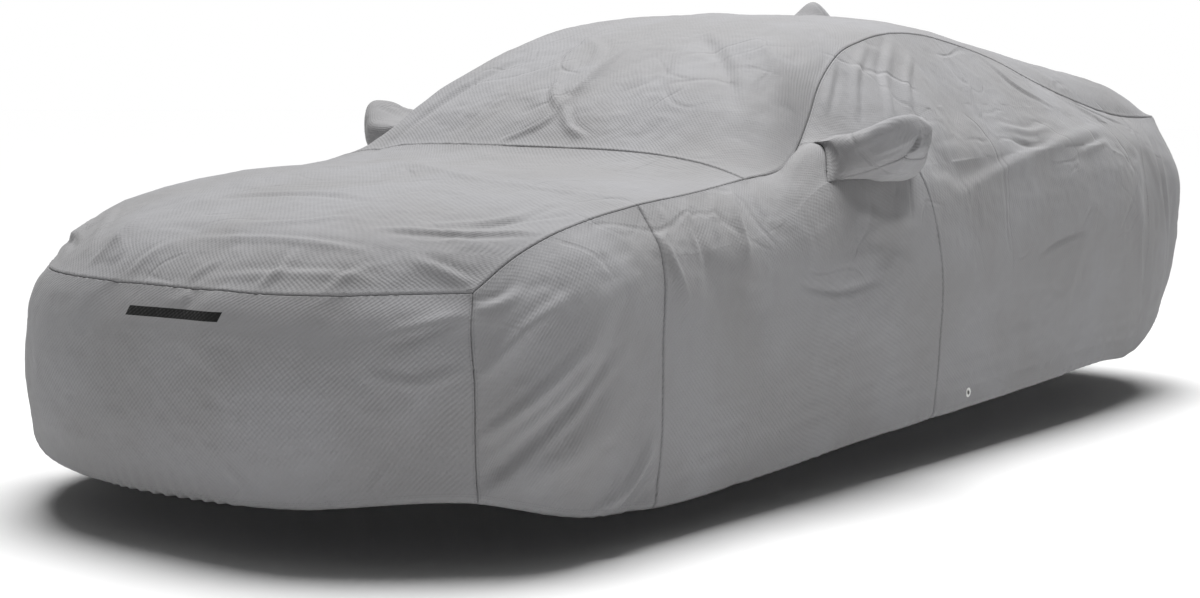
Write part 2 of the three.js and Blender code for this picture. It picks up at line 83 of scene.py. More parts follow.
class Spline:
    """A smooth curve through points, or a row of such curves side by side."""

    def __init__(self, points: np.ndarray) -> None:
        """Works out the slope at each point.

        Args:
            points: Positions, counted along the curve in the first axis.
        """
        self.points = points
        steps = np.diff(points, axis=0)
        self.gaps = np.maximum(np.linalg.norm(steps, axis=-1, keepdims=True), 1e-9)
        secants = steps / self.gaps
        before, after = self.gaps[:-1], self.gaps[1:]
        inner = (secants[:-1] * after + secants[1:] * before) / (before + after)
        self.slopes = np.concatenate([secants[:1], inner, secants[-1:]])

    def at(self, place: np.ndarray) -> np.ndarray:
        """Points of the curve.

        Args:
            place: Where, in counts of the given points, one number for each result.

        Returns:
            The positions, counted in the first axis.
        """
        k = np.clip(np.floor(place), 0, len(self.points) - 2).astype(int)
        u = (place - k).reshape(-1, *[1] * (self.points.ndim - 1))
        u2, u3 = u * u, u * u * u
        return (
            self.points[k] * (2 * u3 - 3 * u2 + 1) + self.slopes[k] * self.gaps[k] * (u3 - 2 * u2 + u)
            + self.points[k + 1] * (3 * u2 - 2 * u3) + self.slopes[k + 1] * self.gaps[k] * (u3 - u2)
        )


class Line:
    """A line of the cover through knots of the form (rib, x, y, z), in millimetres from the ground."""

    def __init__(self, *knots: Sequence[float], mirrored: bool = False) -> None:
        """Keeps the knots.

        Args:
            knots: The knots, in order of their ribs.
            mirrored: Whether the line runs on past the middle of the nose and of the tail.
        """
        table = np.array(knots, float)
        if mirrored:
            flip = np.array([-1.0, -1.0, 1.0, 1.0])
            table = np.vstack([table[1] * flip, table, table[-2] * flip + [2 * TAIL, 0, 0, 0]])
        self.ribs = table[:, 0]
        self.spline = Spline(table[:, 1:] / 1000)

    def at(self, ribs: np.ndarray) -> np.ndarray:
        """The line's points at the given ribs."""
        return self.spline.at(np.interp(ribs, self.ribs, np.arange(len(self.ribs))))


def ease(value: np.ndarray) -> np.ndarray:
    """A soft step from 0 to 1 as the value goes from 0 to 1."""
    held = np.clip(value, 0, 1)
    return held * held * (3 - 2 * held)


def unit(vectors: np.ndarray) -> np.ndarray:
    """The vectors at length 1."""
    return vectors / np.maximum(np.linalg.norm(vectors, axis=-1, keepdims=True), 1e-12)


@dataclass
class CoverForm:
    """The plain form of the cover, before its folds: the same lines that the solids are cut to."""

    front_seam: Line = Line(
        (-1, -440, -2240, 657), (0, 0, -2290, 655), (1, 440, -2240, 657), (2, 755, -1970, 665),
    )
    main_seam: Line = Line(
        (2, 755, -1970, 665), (2.5, 780, -1850, 742), (3, 793, -1760, 780), (3.5, 800, -1580, 823),
        (4, 805, -1385, 851), (4.5, 800, -1130, 874), (5, 790, -868, 902), (5.5, 768, -640, 925),
        (6, 725, -478, 990), (6.5, 690, -365, 1065), (7, 655, -260, 1150), (7.5, 625, -160, 1207),
        (8, 598, -45, 1259), (8.5, 568, 120, 1299), (9, 558, 300, 1330), (9.5, 560, 520, 1338),
        (10, 570, 760, 1313), (10.5, 590, 1050, 1262), (11, 630, 1324, 1182), (11.5, 670, 1560, 1120),
        (12, 722, 1870, 1064), (12.5, 742, 2010, 1058), (13, 740, 2160, 1062),
    )
    rear_seam: Line = Line(
        (13, 740, 2160, 1062), (14, 520, 2390, 1088), (15, 0, 2470, 1115), (16, -520, 2390, 1088),
    )
    levels: tuple[Line, ...] = (
        Line(
            (0, 0, -2302, 632), (1, 446, -2253, 634), (2, 762, -1979, 640), (3, 848, -1786, 722),
            (4, 856, -1400, 795), (5, 852, -875, 855), (6, 758, -462, 994), (7, 800, -280, 1005),
            (8, 812, -100, 1030), (9, 770, 300, 1100), (10, 765, 760, 1105), (11, 790, 1320, 1070),
            (12, 805, 1830, 1000), (13, 800, 2120, 975), (14, 560, 2392, 1000), (15, 0, 2495, 1040),
            mirrored=True,
        ),
        Line(
            (0, 0, -2318, 590), (1, 451, -2270, 592), (2, 776, -2000, 600), (3, 904, -1800, 640),
            (4, 920, -1425, 715), (5, 922, -890, 778), (6, 888, -575, 886), (7, 900, -330, 895),
            (8, 902, -82, 922), (9, 892, 300, 940), (10, 888, 760, 950), (11, 895, 1320, 960),
            (12, 880, 1740, 880), (13, 860, 2130, 860), (14, 600, 2425, 900), (15, 0, 2505, 930),
            mirrored=True,
        ),
        Line(
            (0, 0, -2338, 450), (1, 455, -2290, 450), (2, 797, -2010, 445), (3, 930, -1800, 460),
            (4, 955, -1462, 500), (5, 962, -900, 560), (6, 964, -540, 600), (8, 958, -8, 640),
            (9, 950, 300, 680), (10, 950, 760, 700), (11, 952, 1320, 700), (12, 925, 1700, 690),
            (13, 865, 2150, 680), (14, 640, 2440, 690), (15, 0, 2520, 690), mirrored=True,
        ),
        Line(
            (0, 0, -2330, 275), (1, 455, -2280, 280), (2, 795, -2003, 290), (3, 925, -1800, 270),
            (4, 955, -1462, 270), (5, 955, -900, 300), (6, 955, -540, 320), (8, 955, 2, 350),
            (9, 955, 300, 365), (10, 955, 760, 385), (11, 950, 1320, 400), (12, 920, 1700, 400),
            (13, 850, 2110, 430), (14, 630, 2400, 440), (15, 0, 2490, 450), mirrored=True,
        ),
        Line(
            (0, 0, -2290, 130), (1, 450, -2235, 142), (2, 798, -1995, 168), (3, 893, -1775, 112),
            (4, 930, -1450, 85), (5, 932, -900, 101), (6, 935, -520, 122), (8, 940, 5, 142),
            (9, 938, 300, 150), (10, 938, 760, 165), (11, 935, 1320, 186), (12, 890, 1700, 175),
            (13, 815, 2080, 285), (14, 600, 2340, 310), (15, 0, 2430, 320), mirrored=True,
        ),
    )
    crown: Line = Line(  # the middle of the top panels: rib, y, z, squareness of the section across
        (2, -2290, 655, 3), (2.5, -2170, 765, 2.5), (3, -1980, 835, 2.6), (3.5, -1700, 885, 3),
        (4, -1430, 915, 3), (5, -850, 968, 4), (5.5, -710, 1072, 5), (6, -560, 1162, 6),
        (6.5, -430, 1224, 6), (7, -300, 1278, 6), (7.5, -160, 1324, 5), (8, -20, 1358, 5),
        (8.5, 140, 1383, 4), (9, 310, 1398, 4), (9.5, 530, 1402, 4), (10, 770, 1389, 4),
        (10.5, 1060, 1356, 4), (11, 1340, 1318, 5), (11.5, 1600, 1278, 6), (12, 1900, 1235, 7),
        (12.5, 2180, 1190, 8), (13, 2470, 1115, 8),
    )
    right_fullness: float = 4.0      # how much squarer the roof's right half hangs

    def seam(self, ribs: np.ndarray) -> np.ndarray:
        """The upper edge of the skirt."""
        front, main, rear = (line.at(ribs) for line in (self.front_seam, self.main_seam, self.rear_seam))
        behind = np.where((ribs <= TAIL_CORNER)[:, None], main, rear)
        return np.where((ribs <= CORNER)[:, None], front, behind)

    def skirt(self, ribs: np.ndarray, levels: np.ndarray) -> np.ndarray:
        """The skirt.

        Args:
            ribs: Ribs, counted on past 15 to go around the tail.
            levels: Levels.

        Returns:
            The points, by level and then by rib.
        """
        around = np.abs(ribs)
        station = np.where(around > TAIL, 2 * TAIL - around, around)
        side = np.where(around > TAIL, -np.sign(ribs), np.sign(ribs))
        rows = np.stack([self.seam(station), *[line.at(station) for line in self.levels]])
        points = Spline(rows).at(levels)
        points[..., 0] *= np.where(side == 0, 1, side)
        return self.placed(points)

    def top(self, ribs: np.ndarray, across: np.ndarray) -> np.ndarray:
        """The top panels.

        Args:
            ribs: Ribs, 2 to 13.
            across: How far across, -1 to 1.

        Returns:
            The points, by the place across and then by rib.
        """
        places = across[:, None]

        def section(at: np.ndarray) -> np.ndarray:
            """The plain sections across the car at some ribs."""
            edge = self.seam(at)[None]
            y, z, square = (self.crown.at(at) * [1, 1, 1000]).T[:, None]
            fuller = np.where(places < 0, self.right_fullness * np.clip(at - COWL, 0, 1), 0)
            fall = np.abs(places) ** (square + fuller)
            return np.stack([
                edge[..., 0] * places, y + (edge[..., 1] - y) * fall, z + (edge[..., 2] - z) * fall,
            ], axis=-1)

        points = section(ribs)
        front = self.front_seam.at(CORNER * np.abs(across))
        rear = self.rear_seam.at(TAIL - (TAIL - TAIL_CORNER) * np.abs(across))
        for wanted, corner in ((front, CORNER), (rear, TAIL_CORNER)):
            wanted[:, 0] *= np.sign(across)
            fade = ease(1 - np.abs(ribs - corner))[None, :, None]
            points += (wanted[:, None] - section(np.array([float(corner)]))) * fade
        return self.placed(points)

    @staticmethod
    def placed(points: np.ndarray) -> np.ndarray:
        """Points measured from the ground, moved so that the origin is under the roof."""
        return points - [0, ROOF_POINT_Y, GROUND]


FORM = CoverForm()


def spread(
    curve: Callable[[np.ndarray], np.ndarray], stops: Sequence[float], fine: Sequence[float],
    cell: float = CELL, tried: int = 200,
) -> np.ndarray:
    """Places along a curve, a cell apart, with finer cells on both sides of its sewn stops.

    Args:
        curve: Gives the points at some places.
        stops: Places that are kept, the two ends first and last.
        fine: Those of the stops that are sewn.
        cell: The distance between places.
        tried: How many points each stretch is measured by.

    Returns:
        The places, in order.
    """
    places = []
    for start, stop in zip(stops, stops[1:]):
        tries = np.linspace(start, stop, tried)
        run = np.append(0, np.cumsum(np.linalg.norm(np.diff(curve(tries), axis=0), axis=-1)))
        near = np.array(EDGE_CELLS if start in fine else EDGE_CELLS[:1])
        far = run[-1] - np.array(EDGE_CELLS if stop in fine else EDGE_CELLS[:1])[::-1]
        count = max(round((far[0] - near[-1]) / cell), 2)
        wanted = np.concatenate([near[:-1], np.linspace(near[-1], far[0], count + 1), far[1:]])
        places.append(np.interp(wanted, run, tries)[:-1])
    return np.append(np.concatenate(places), stops[-1])


class Ripple:
    """Smooth noise in space, the same on every run: cubes of values between -1 and 1, blended."""

    def __init__(self, seed: int) -> None:
        """Draws the values.

        Args:
            seed: Which pattern.
        """
        self.size = 32
        self.values = np.random.default_rng(seed).uniform(-1, 1, (self.size,) * 3)

    def at(self, points: np.ndarray, length: float | Sequence[float]) -> np.ndarray:
        """The noise at some points.

        Args:
            points: Positions.
            length: Size of its lumps, one number or one for each axis.

        Returns:
            A value for each point.
        """
        place = points / np.asarray(length)
        cell = np.floor(place).astype(int)
        u = ease(place - cell)
        total = np.zeros(points.shape[:-1])
        for corner in np.ndindex(2, 2, 2):
            share = np.prod(np.where(corner, u, 1 - u), axis=-1)
            i, j, k = np.moveaxis((cell + corner) % self.size, -1, 0)
            total += share * self.values[i, j, k]
        return total


@dataclass
class Stitching:
    """A line where sheets are sewn together, or the hem, as a chain of close points."""

    chain: np.ndarray
    over: str = ""                # words in the names of the sheets that lap over the others here
    pucker: float = 1.0           # how much it gathers the cloth beside it
    depth: float = 1.0            # how deep it sinks
    run: np.ndarray = field(init=False)
    along: np.ndarray = field(init=False)

    def __post_init__(self) -> None:
        """Works out the distance run and the direction at each point."""
        steps = np.linalg.norm(np.diff(self.chain, axis=0), axis=-1)
        self.run = np.append(0, np.cumsum(steps))
        self.along = unit(np.gradient(self.chain, axis=0))


@dataclass
class Beside:
    """Where points of a sheet lie beside the nearest stitching."""

    gap: np.ndarray               # how far from it
    run: np.ndarray               # how far along it
    index: np.ndarray             # which point of all the chains
    line: np.ndarray              # which line
    depth: np.ndarray             # how deep that line sinks


class StitchingMap:
    """Finds the nearest of several lines of stitching."""

    def __init__(self, lines: Sequence[Stitching]) -> None:
        """Puts all the chains in one tree.

        Args:
            lines: The lines.
        """
        self.lines = lines
        self.chain = np.concatenate([line.chain for line in lines])
        self.run = np.concatenate([line.run for line in lines])
        self.along = np.concatenate([line.along for line in lines])
        self.line = np.concatenate([np.full(len(line.chain), k) for k, line in enumerate(lines)])
        self.normal = np.zeros_like(self.chain)
        self.tree = kdtree.KDTree(len(self.chain))
        for k, point in enumerate(self.chain):
            self.tree.insert(point, k)
        self.tree.balance()

    def beside(self, points: np.ndarray) -> Beside:
        """Where some points lie.

        Args:
            points: Positions in rows and columns.

        Returns:
            The same rows and columns of gaps, runs and so on.
        """
        index = np.array([self.tree.find(point)[1] for point in points.reshape(-1, 3)])
        index = index.reshape(points.shape[:-1])
        offset = points - self.chain[index]
        lengthwise = np.sum(offset * self.along[index], axis=-1)
        gap = np.linalg.norm(offset - self.along[index] * lengthwise[..., None], axis=-1)
        line = self.line[index]
        depth = np.array([stitching.depth for stitching in self.lines])[line]
        return Beside(gap, self.run[index] + lengthwise, index, line, depth)

    def gather_normals(self, sheets: Sequence["Sheet"], reach: float = 0.004, window: int = 15) -> None:
        """Gives every chain point the mean direction of the cloth on both sides.

        Args:
            sheets: All the sheets, with their places beside the stitching known.
            reach: How near the cloth that counts lies.
            window: Over how many chain points it is averaged.
        """
        for sheet in sheets:
            close = (sheet.seam.gap < reach) & sheet.used()
            np.add.at(self.normal, sheet.seam.index[close], sheet.normals[close])
        for k in range(len(self.lines)):
            own = self.line == k
            summed = np.cumsum(np.vstack([np.zeros((1, 3)), self.normal[own]]), axis=0)
            last = np.arange(own.sum()) + 1
            high = np.minimum(last + window, own.sum())
            low = np.maximum(last - 1 - window, 0)
            self.normal[own] = unit(summed[high] - summed[low])


@dataclass
class Sheet:
    """A sheet of cloth: rows and columns of points, facing the way from rows to columns turns."""

    name: str
    points: np.ndarray
    cloth: np.ndarray | None = None           # which cells are cloth, all when none are given
    replaces: tuple[str, ...] = ()            # nodes besides its own that it stands for
    normals: np.ndarray = field(init=False)
    seam: Beside = field(init=False)
    hem: Beside = field(init=False)

    def __post_init__(self) -> None:
        """Works out the normals."""
        if self.cloth is None:
            self.cloth = np.ones((self.points.shape[0] - 1, self.points.shape[1] - 1), bool)
        down, along = np.gradient(self.points, axis=0), np.gradient(self.points, axis=1)
        self.normals = unit(np.cross(down, along))
        if np.allclose(self.points[0], self.points[-1], atol=1e-6):
            self.normals[0] = self.normals[-1] = unit(self.normals[0] + self.normals[-1])
        if np.allclose(self.points[:, -1], self.points[0, -1], atol=1e-6):
            self.normals[:, -1] = unit(self.normals[:, -2].sum(axis=0))

    def used(self) -> np.ndarray:
        """Which points belong to a cell of cloth."""
        used = np.zeros(self.points.shape[:2], bool)
        for rows in (slice(None, -1), slice(1, None)):
            for columns in (slice(None, -1), slice(1, None)):
                used[rows, columns] |= self.cloth
        return used

    def locate(self, seams: StitchingMap, hem: StitchingMap) -> None:
        """Finds where every point lies beside the seams and the hem."""
        self.seam, self.hem = seams.beside(self.points), hem.beside(self.points)

    def flat_size(self) -> tuple[float, float, float]:
        """The size that the sheet is cut to.

        Returns:
            Its width, its length and its area.
        """
        down = np.linalg.norm(np.diff(self.points, axis=0), axis=-1)
        along = np.linalg.norm(np.diff(self.points, axis=1), axis=-1)
        down = (down[:, 1:] + down[:, :-1]) / 2 * self.cloth
        along = (along[1:] + along[:-1]) / 2 * self.cloth
        return down.sum(axis=0).max(), along.sum(axis=1).max(), float((down * along).sum())

    def surface_places(self) -> np.ndarray:
        """How far each point is along its row and its column, for the grain of the cloth."""
        down = np.linalg.norm(np.diff(self.points, axis=0, prepend=self.points[:1]), axis=-1)
        along = np.linalg.norm(np.diff(self.points, axis=1, prepend=self.points[:, :1]), axis=-1)
        return np.stack([along.cumsum(axis=1), down.cumsum(axis=0)], axis=-1)

    def build(self, finish: bpy.types.Material) -> bpy.types.Object:
        """Args:
            finish: The cloth's material.

        Returns:
            The finished piece.
        """
        rows, columns = self.points.shape[:2]
        ids = np.arange(rows * columns).reshape(rows, columns)
        loops = np.stack([ids[:-1, :-1], ids[1:, :-1], ids[1:, 1:], ids[:-1, 1:]], axis=-1)[self.cloth]
        kept, loops = np.unique(loops, return_inverse=True)
        loops = loops.reshape(-1, 4)
        mesh = bpy.data.meshes.new(self.name)
        mesh.from_pydata(self.points.reshape(-1, 3)[kept].tolist(), [], loops.tolist())
        grain = mesh.uv_layers.new(name="grain")
        grain.data.foreach_set("uv", self.surface_places().reshape(-1, 2)[kept][loops].ravel())
        for name, values in (
            # SEAM_FADE narrows the painted shade along seams that sink less
            ("seam_gap", self.seam.gap + (1 - self.seam.depth) * SEAM_FADE), ("seam_run", self.seam.run),
            ("hem_gap", self.hem.gap), ("hem_run", self.hem.run),
        ):
            layer = mesh.attributes.new(name, "FLOAT", "POINT")
            layer.data.foreach_set("value", values.reshape(-1)[kept].astype(np.float32))
        mesh.materials.append(finish)
        mesh.polygons.foreach_set("use_smooth", np.ones(len(mesh.polygons), bool))
        piece = bpy.data.objects.new(f"{self.name}_cloth", mesh)
        bpy.context.scene.collection.objects.link(piece)
        bpy.ops.object.select_all(action="DESELECT")
        bpy.context.view_layer.objects.active = piece
        piece.select_set(True)
        weld = piece.modifiers.new("weld", "WELD")
        weld.merge_threshold = WELD
        wall = piece.modifiers.new("wall", "SOLIDIFY")
        wall.thickness, wall.offset, wall.use_even_offset = CLOTH, -1, False
        for modifier in (weld.name, wall.name):
            bpy.ops.object.modifier_apply(modifier=modifier)
        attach(piece, "root")
        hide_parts(self.name, *self.replaces)
        width, length, area = self.flat_size()
        min(area, width * length)
        faces = len(mesh.polygons)
        log.info("%s: %d faces, flat %.2f x %.2f m, %.2f m2", piece.name, faces, width, length, area)
        return piece


class Region(Enum):
    """Which part of the cover a fold's places are counted on."""

    SKIRT = "rib and level"
    TOP = "rib and place across"


@dataclass(frozen=True)
class Fold:
    """A soft ridge, or a trough when its height is below zero, along a line of the cloth."""

    region: Region
    through: tuple[tuple[float, float], ...]
    height: float            # millimetres
    width: float             # millimetres
    lean: float = 0.0        # how much of a trough lies beside the ridge, on its left or right by sign
    mirrored: bool = False

    def paths(self) -> list[np.ndarray]:
        """The fold's line, and its mirror image where it has one, as close points."""
        lines = []
        for side in (1, -1) if self.mirrored else (1,):
            places = np.array(self.through) * ([side, 1] if self.region is Region.SKIRT else [1, side])
            if self.region is Region.SKIRT:
                points = np.concatenate([FORM.skirt(rib, level)[0] for rib, level in places[..., None]])
            else:
                points = np.concatenate([FORM.top(rib, across)[0] for rib, across in places[..., None]])
            lines.append(Spline(points).at(np.linspace(0, len(points) - 1, 12 * len(points))))
        return lines

    def rise(self, path: np.ndarray, points: np.ndarray, normals: np.ndarray) -> np.ndarray:
        """How far the fold lifts the cloth.

        Args:
            path: One of its lines.
            points: Positions.
            normals: The cloth's directions there.

        Returns:
            The lift at each point, most along the middle of the line and nothing past its ends.
        """
        width = self.width / 1000
        reach = FOLD_REACH * width
        near = np.all((points > path.min(axis=0) - reach) & (points < path.max(axis=0) + reach), axis=-1)
        lift = np.zeros(len(points))
        if not near.any():
            return lift
        offsets = points[near][:, None] - path
        nearest = np.argmin(np.sum(offsets * offsets, axis=-1), axis=1)
        offset = offsets[np.arange(len(nearest)), nearest]
        along = unit(np.gradient(path, axis=0))[nearest]
        lengthwise = np.sum(offset * along, axis=-1, keepdims=True)
        beside = np.sum(np.cross(along, offset) * normals[near], axis=-1)
        past = np.where((nearest == 0) | (nearest == len(path) - 1), np.abs(lengthwise[:, 0]), 0)
        away = np.hypot(np.linalg.norm(offset - along * lengthwise, axis=-1), past) / width
        taper = np.sin(np.pi * (nearest + 0.5) / len(path)) ** FOLD_TAPER
        from_trough = beside / width - TROUGH_AWAY * np.sign(self.lean)
        trough = np.exp(-(from_trough ** 2) / TROUGH_SPREAD) * abs(self.lean)
        depth = self.height / 1000 * (CREASE_DEPTH if self.width < CREASE_WIDTH else FOLD_DEPTH)
        shoulder = np.exp(-(away / FOLD_SHOULDER) ** 4)
        lift[near] = depth * taper * (np.exp(-(away ** 2)) - trough * shoulder)
        return lift


class Signal:
    """A number that varies over a surface. Python's operators on it add Math nodes."""

    def __init__(self, shader: "Shader", socket: bpy.types.NodeSocket) -> None:
        """Wraps a socket of a shader's node."""
        self.shader, self.socket = shader, socket

    def math(self, operation: str, *others: "Signal | float", first: float | None = None) -> "Signal":
        """Adds a Math node.

        Args:
            operation: The node's operation.
            others: What follows this signal in its inputs.
            first: A number that goes before this signal.

        Returns:
            The node's result.
        """
        values = [self, *others] if first is None else [first, self]
        return self.shader.node("ShaderNodeMath", {"operation": operation}, dict(enumerate(values)))

    def __add__(self, other: "Signal | float") -> "Signal":
        """The sum."""
        return self.math("ADD", other)

    __radd__ = __add__

    def __sub__(self, other: "Signal | float") -> "Signal":
        """The difference."""
        return self.math("SUBTRACT", other)

    def __rsub__(self, other: float) -> "Signal":
        """A number less this."""
        return self.math("SUBTRACT", first=other)

    def __mul__(self, other: "Signal | float") -> "Signal":
        """The product."""
        return self.math("MULTIPLY", other)

    __rmul__ = __mul__

    def wave(self, length: float) -> "Signal":
        """A sine of this distance, from -1 to 1, with the given wavelength."""
        return (self * (2 * math.pi / length)).math("SINE")

    def step(self, start: float, stop: float) -> "Signal":
        """A soft step from 0 at start to 1 at stop."""
        return self.shader.node(
            "ShaderNodeMapRange", {"interpolation_type": "SMOOTHSTEP"}, {0: self, 1: start, 2: stop},
        )


class Shader:
    """A material's nodes."""

    def __init__(self, name: str) -> None:
        """Starts an empty material.

        Args:
            name: The material's name.
        """
        self.material = bpy.data.materials.new(name)
        self.material.use_nodes = True
        self.nodes = self.material.node_tree.nodes
        self.nodes.clear()

    def node(
        self, kind: str, settings: dict[str, object] | None = None,
        inputs: dict[int | str, object] | None = None, output: int | str = 0,
    ) -> Signal:
        """Adds a node.

        Args:
            kind: Its type.
            settings: Its properties, set first.
            inputs: A value or a signal for each of its sockets.
            output: Which of its results is wanted.

        Returns:
            That result.
        """
        made = self.nodes.new(kind)
        for name, value in (settings or {}).items():
            setattr(made, name, value)
        for name, value in (inputs or {}).items():
            if isinstance(value, Signal):
                self.material.node_tree.links.new(value.socket, made.inputs[name])
            else:
                made.inputs[name].default_value = value
        return Signal(self, made.outputs[output])

    def attribute(self, name: str) -> Signal:
        """A number kept on the mesh."""
        return self.node("ShaderNodeAttribute", {"attribute_name": name}, output="Fac")

    def axes(self, vector: Signal) -> list[Signal]:
        """The three parts of a vector."""
        return [self.node("ShaderNodeSeparateXYZ", inputs={0: vector}, output=k) for k in range(3)]

    def place(self) -> Signal:
        """The place on the object, in metres."""
        return self.node("ShaderNodeTexCoord", output="Object")

    def noise(self, vector: Signal, size: float, detail: float = 2.0) -> Signal:
        """Cloudy noise from 0 to 1, with lumps of the given size."""
        inputs = {"Vector": vector, "Scale": 1 / size, "Detail": detail}
        return self.node("ShaderNodeTexNoise", inputs=inputs)

    def mixed(
        self, share: Signal, first: Sequence[float] | Signal, second: Sequence[float] | Signal,
    ) -> Signal:
        """A colour between two others."""
        return self.node(
            "ShaderNodeMix", {"data_type": "RGBA"}, {0: share, 6: first, 7: second}, output=2,
        )

    def bump(self, height: Signal, distance: float, under: Signal | None = None) -> Signal:
        """A normal for some relief, over another normal where one is given."""
        inputs = {"Height": height, "Distance": distance, "Strength": 1.0}
        return self.node("ShaderNodeBump", inputs=inputs | ({"Normal": under} if under else {}))

    def finish(self, inputs: dict[int | str, object]) -> bpy.types.Material:
        """Ends in a Principled surface with the given inputs."""
        surface = self.node("ShaderNodeBsdfPrincipled", inputs=inputs)
        end = self.nodes.new("ShaderNodeOutputMaterial")
        self.material.node_tree.links.new(surface.socket, end.inputs["Surface"])
        return self.material


Colour = tuple[float, float, float, float]


@dataclass(frozen=True)
class PrintedBar:
    """A slim plain bar printed on the front panel, with slanted ends. Metres, on x and z."""

    left: float
    right: float
    low: float
    high: float
    slant: float = 0.35
    tilt: float = 0.0
    soft: float = 0.0012

    def mask(self, shader: Shader) -> Signal:
        """Where the bar is: 1 on it and 0 off it."""
        x, _, z = shader.axes(shader.place())
        level = z - (x - self.left) * self.tilt
        shifted = x - (level - self.low) * self.slant
        inside = [
            shifted.step(self.left, self.left + self.soft),
            1 - shifted.step(self.right, self.right + self.soft),
            level.step(self.low, self.low + self.soft),
            1 - level.step(self.high, self.high + self.soft),
        ]
        return inside[0] * inside[1] * inside[2] * inside[3]


@dataclass(frozen=True)
class CoverClothFinish:
    """The cover's soft grey non-woven cloth, embossed with small diamonds and top-stitched."""

    colour: Colour = (0.323, 0.322, 0.333, 1.0)
    shade: Colour = (0.295, 0.292, 0.297, 1.0)
    # the stitches' thread, also the colour of the painted shade along the seams
    thread_and_groove_shade: Colour = (0.2, 0.2, 0.205, 1.0)
    ink: Colour = (0.008, 0.008, 0.008, 1.0)
    roughness: float = 0.82
    rougher: float = 0.1                      # how much the clouds add to it
    ink_gloss: float = 0.3                    # how much smoother the ink is
    sheen: float = 0.12
    sheen_roughness: float = 0.45
    specular: float = 0.25
    diamond: float = 0.014                    # the distance between the lines of the diamonds
    slants: tuple[float, float] = (0.65, 0.35)           # how strong their two directions are
    cloud: float = 0.32                       # size of the patches of the two greys
    cloud_steps: tuple[float, float] = (0.35, 0.68)
    fibre: float = 0.0016                     # size of the flecks of the fibres
    fibre_steps: tuple[float, float] = (0.2, 0.9)
    fibre_tint: float = 0.25
    weave_heights: tuple[float, float] = (0.5, 0.4)      # of the diamonds and the fibres
    weave_depth: float = 0.0009
    cockle: float = 0.022                     # size of the small unevenness
    cockle_depth: float = 0.0016
    crease: float = 0.024                     # how wide the small creases are, as a share of the noise
    crease_size: float = 0.34                 # how far apart they are, about
    cross_size: float = 0.21                  # the same for a second, closer set
    cross_share: float = 0.6                  # how deep that set is beside the first
    crease_patch: float = 0.27                # size of the patches that are creased
    patch_steps: tuple[float, float] = (0.42, 0.62)
    crease_depth: float = 0.0022
    smooth_below: float = -0.95               # the height under which the cloth has few small creases
    creased_above: float = -0.5
    least_creased: float = 0.2                # how deep they still are down there
    painted_groove_shade_width: float = 0.003                 # width of the painted shade along a seam's groove
    line_tint: float = 0.5                    # how strongly the painted seam shade and the stitches take the thread's grey
    stitch: float = 0.0055                    # length of a stitch and the space after it
    stitch_gap: float = 0.0062                # how far from a seam its stitches run
    stitch_width: float = 0.0011
    stitch_depth: float = 0.35
    hem_rows: tuple[float, ...] = (0.018, 0.024)

    def stitches(self, gap: Signal, run: Signal, at: float) -> Signal:
        """A row of stitches.

        Args:
            gap: How far from the edge a point is.
            run: How far along the edge it is.
            at: How far from the edge the row runs.

        Returns:
            1 on a stitch and 0 beside it.
        """
        beside = (gap - at).math("ABSOLUTE")
        row = 1 - beside.step(self.stitch_width / 2, self.stitch_width)
        return row * run.wave(self.stitch).step(-0.5, 0.0)

    def make(self, name: str, bar: PrintedBar | None = None) -> bpy.types.Material:
        """Makes the material.

        Args:
            name: Its name.
            bar: A bar printed on it.

        Returns:
            The material.
        """
        shader = Shader(name)
        place = shader.place()
        across, down, _ = shader.axes(shader.node("ShaderNodeUVMap", {"uv_map": "grain"}))
        rising = (across + down).wave(self.diamond) * self.slants[0]
        diamonds = rising + (across - down).wave(self.diamond) * self.slants[1]
        gap, run = shader.attribute("seam_gap"), shader.attribute("seam_run")
        hem_gap, hem_run = shader.attribute("hem_gap"), shader.attribute("hem_run")
        stitching = self.stitches(gap, run, self.stitch_gap)
        for row in self.hem_rows:
            stitching = stitching.math("MAXIMUM", self.stitches(hem_gap, hem_run, row))
        clouds = shader.noise(place, self.cloud, 3.0)
        fibres = shader.noise(place, self.fibre, 3.0)
        colour = shader.mixed(clouds.step(*self.cloud_steps), self.shade, self.colour)
        # painted shade: a dark band in the thread's grey along each seam, where its groove is
        painted_groove_shade = 1 - gap.step(0.0, self.painted_groove_shade_width)
        colour = shader.mixed(painted_groove_shade * self.line_tint, colour, self.thread_and_groove_shade)
        colour = shader.mixed(stitching * self.line_tint, colour, self.thread_and_groove_shade)
        flecks = (fibres + diamonds * 0.3).step(*self.fibre_steps)
        colour = shader.mixed(flecks * self.fibre_tint, colour, self.shade)
        roughness = self.roughness + clouds * self.rougher
        if bar:
            printed = bar.mask(shader)
            colour = shader.mixed(printed, colour, self.ink)
            roughness = roughness - printed * self.ink_gloss
        folded = (shader.noise(place, self.crease_size, 0.4) - 0.5).math("ABSOLUTE").step(0.0, self.crease)
        crossed = (shader.noise(place, self.cross_size, 0.3) - 0.5).math("ABSOLUTE")
        creased = folded + crossed.step(0.0, self.crease * 1.5) * self.cross_share
        patches = shader.noise(place, self.crease_patch, 1.0).step(*self.patch_steps)
        height = shader.axes(place)[2].step(self.smooth_below, self.creased_above)
        creased = creased * patches * (height + self.least_creased)
        woven = diamonds * self.weave_heights[0] + fibres * self.weave_heights[1]
        weave = shader.bump(woven, self.weave_depth)
        sewn = shader.noise(place, self.cockle, 4.0) - stitching * self.stitch_depth
        cockled = shader.bump(sewn, self.cockle_depth, weave)
        relief = shader.bump(creased, self.crease_depth, cockled)
        return shader.finish({
            "Base Color": colour, "Roughness": roughness, "Normal": relief,
            "Sheen Weight": self.sheen, "Sheen Roughness": self.sheen_roughness,
            "Specular IOR Level": self.specular,
        })


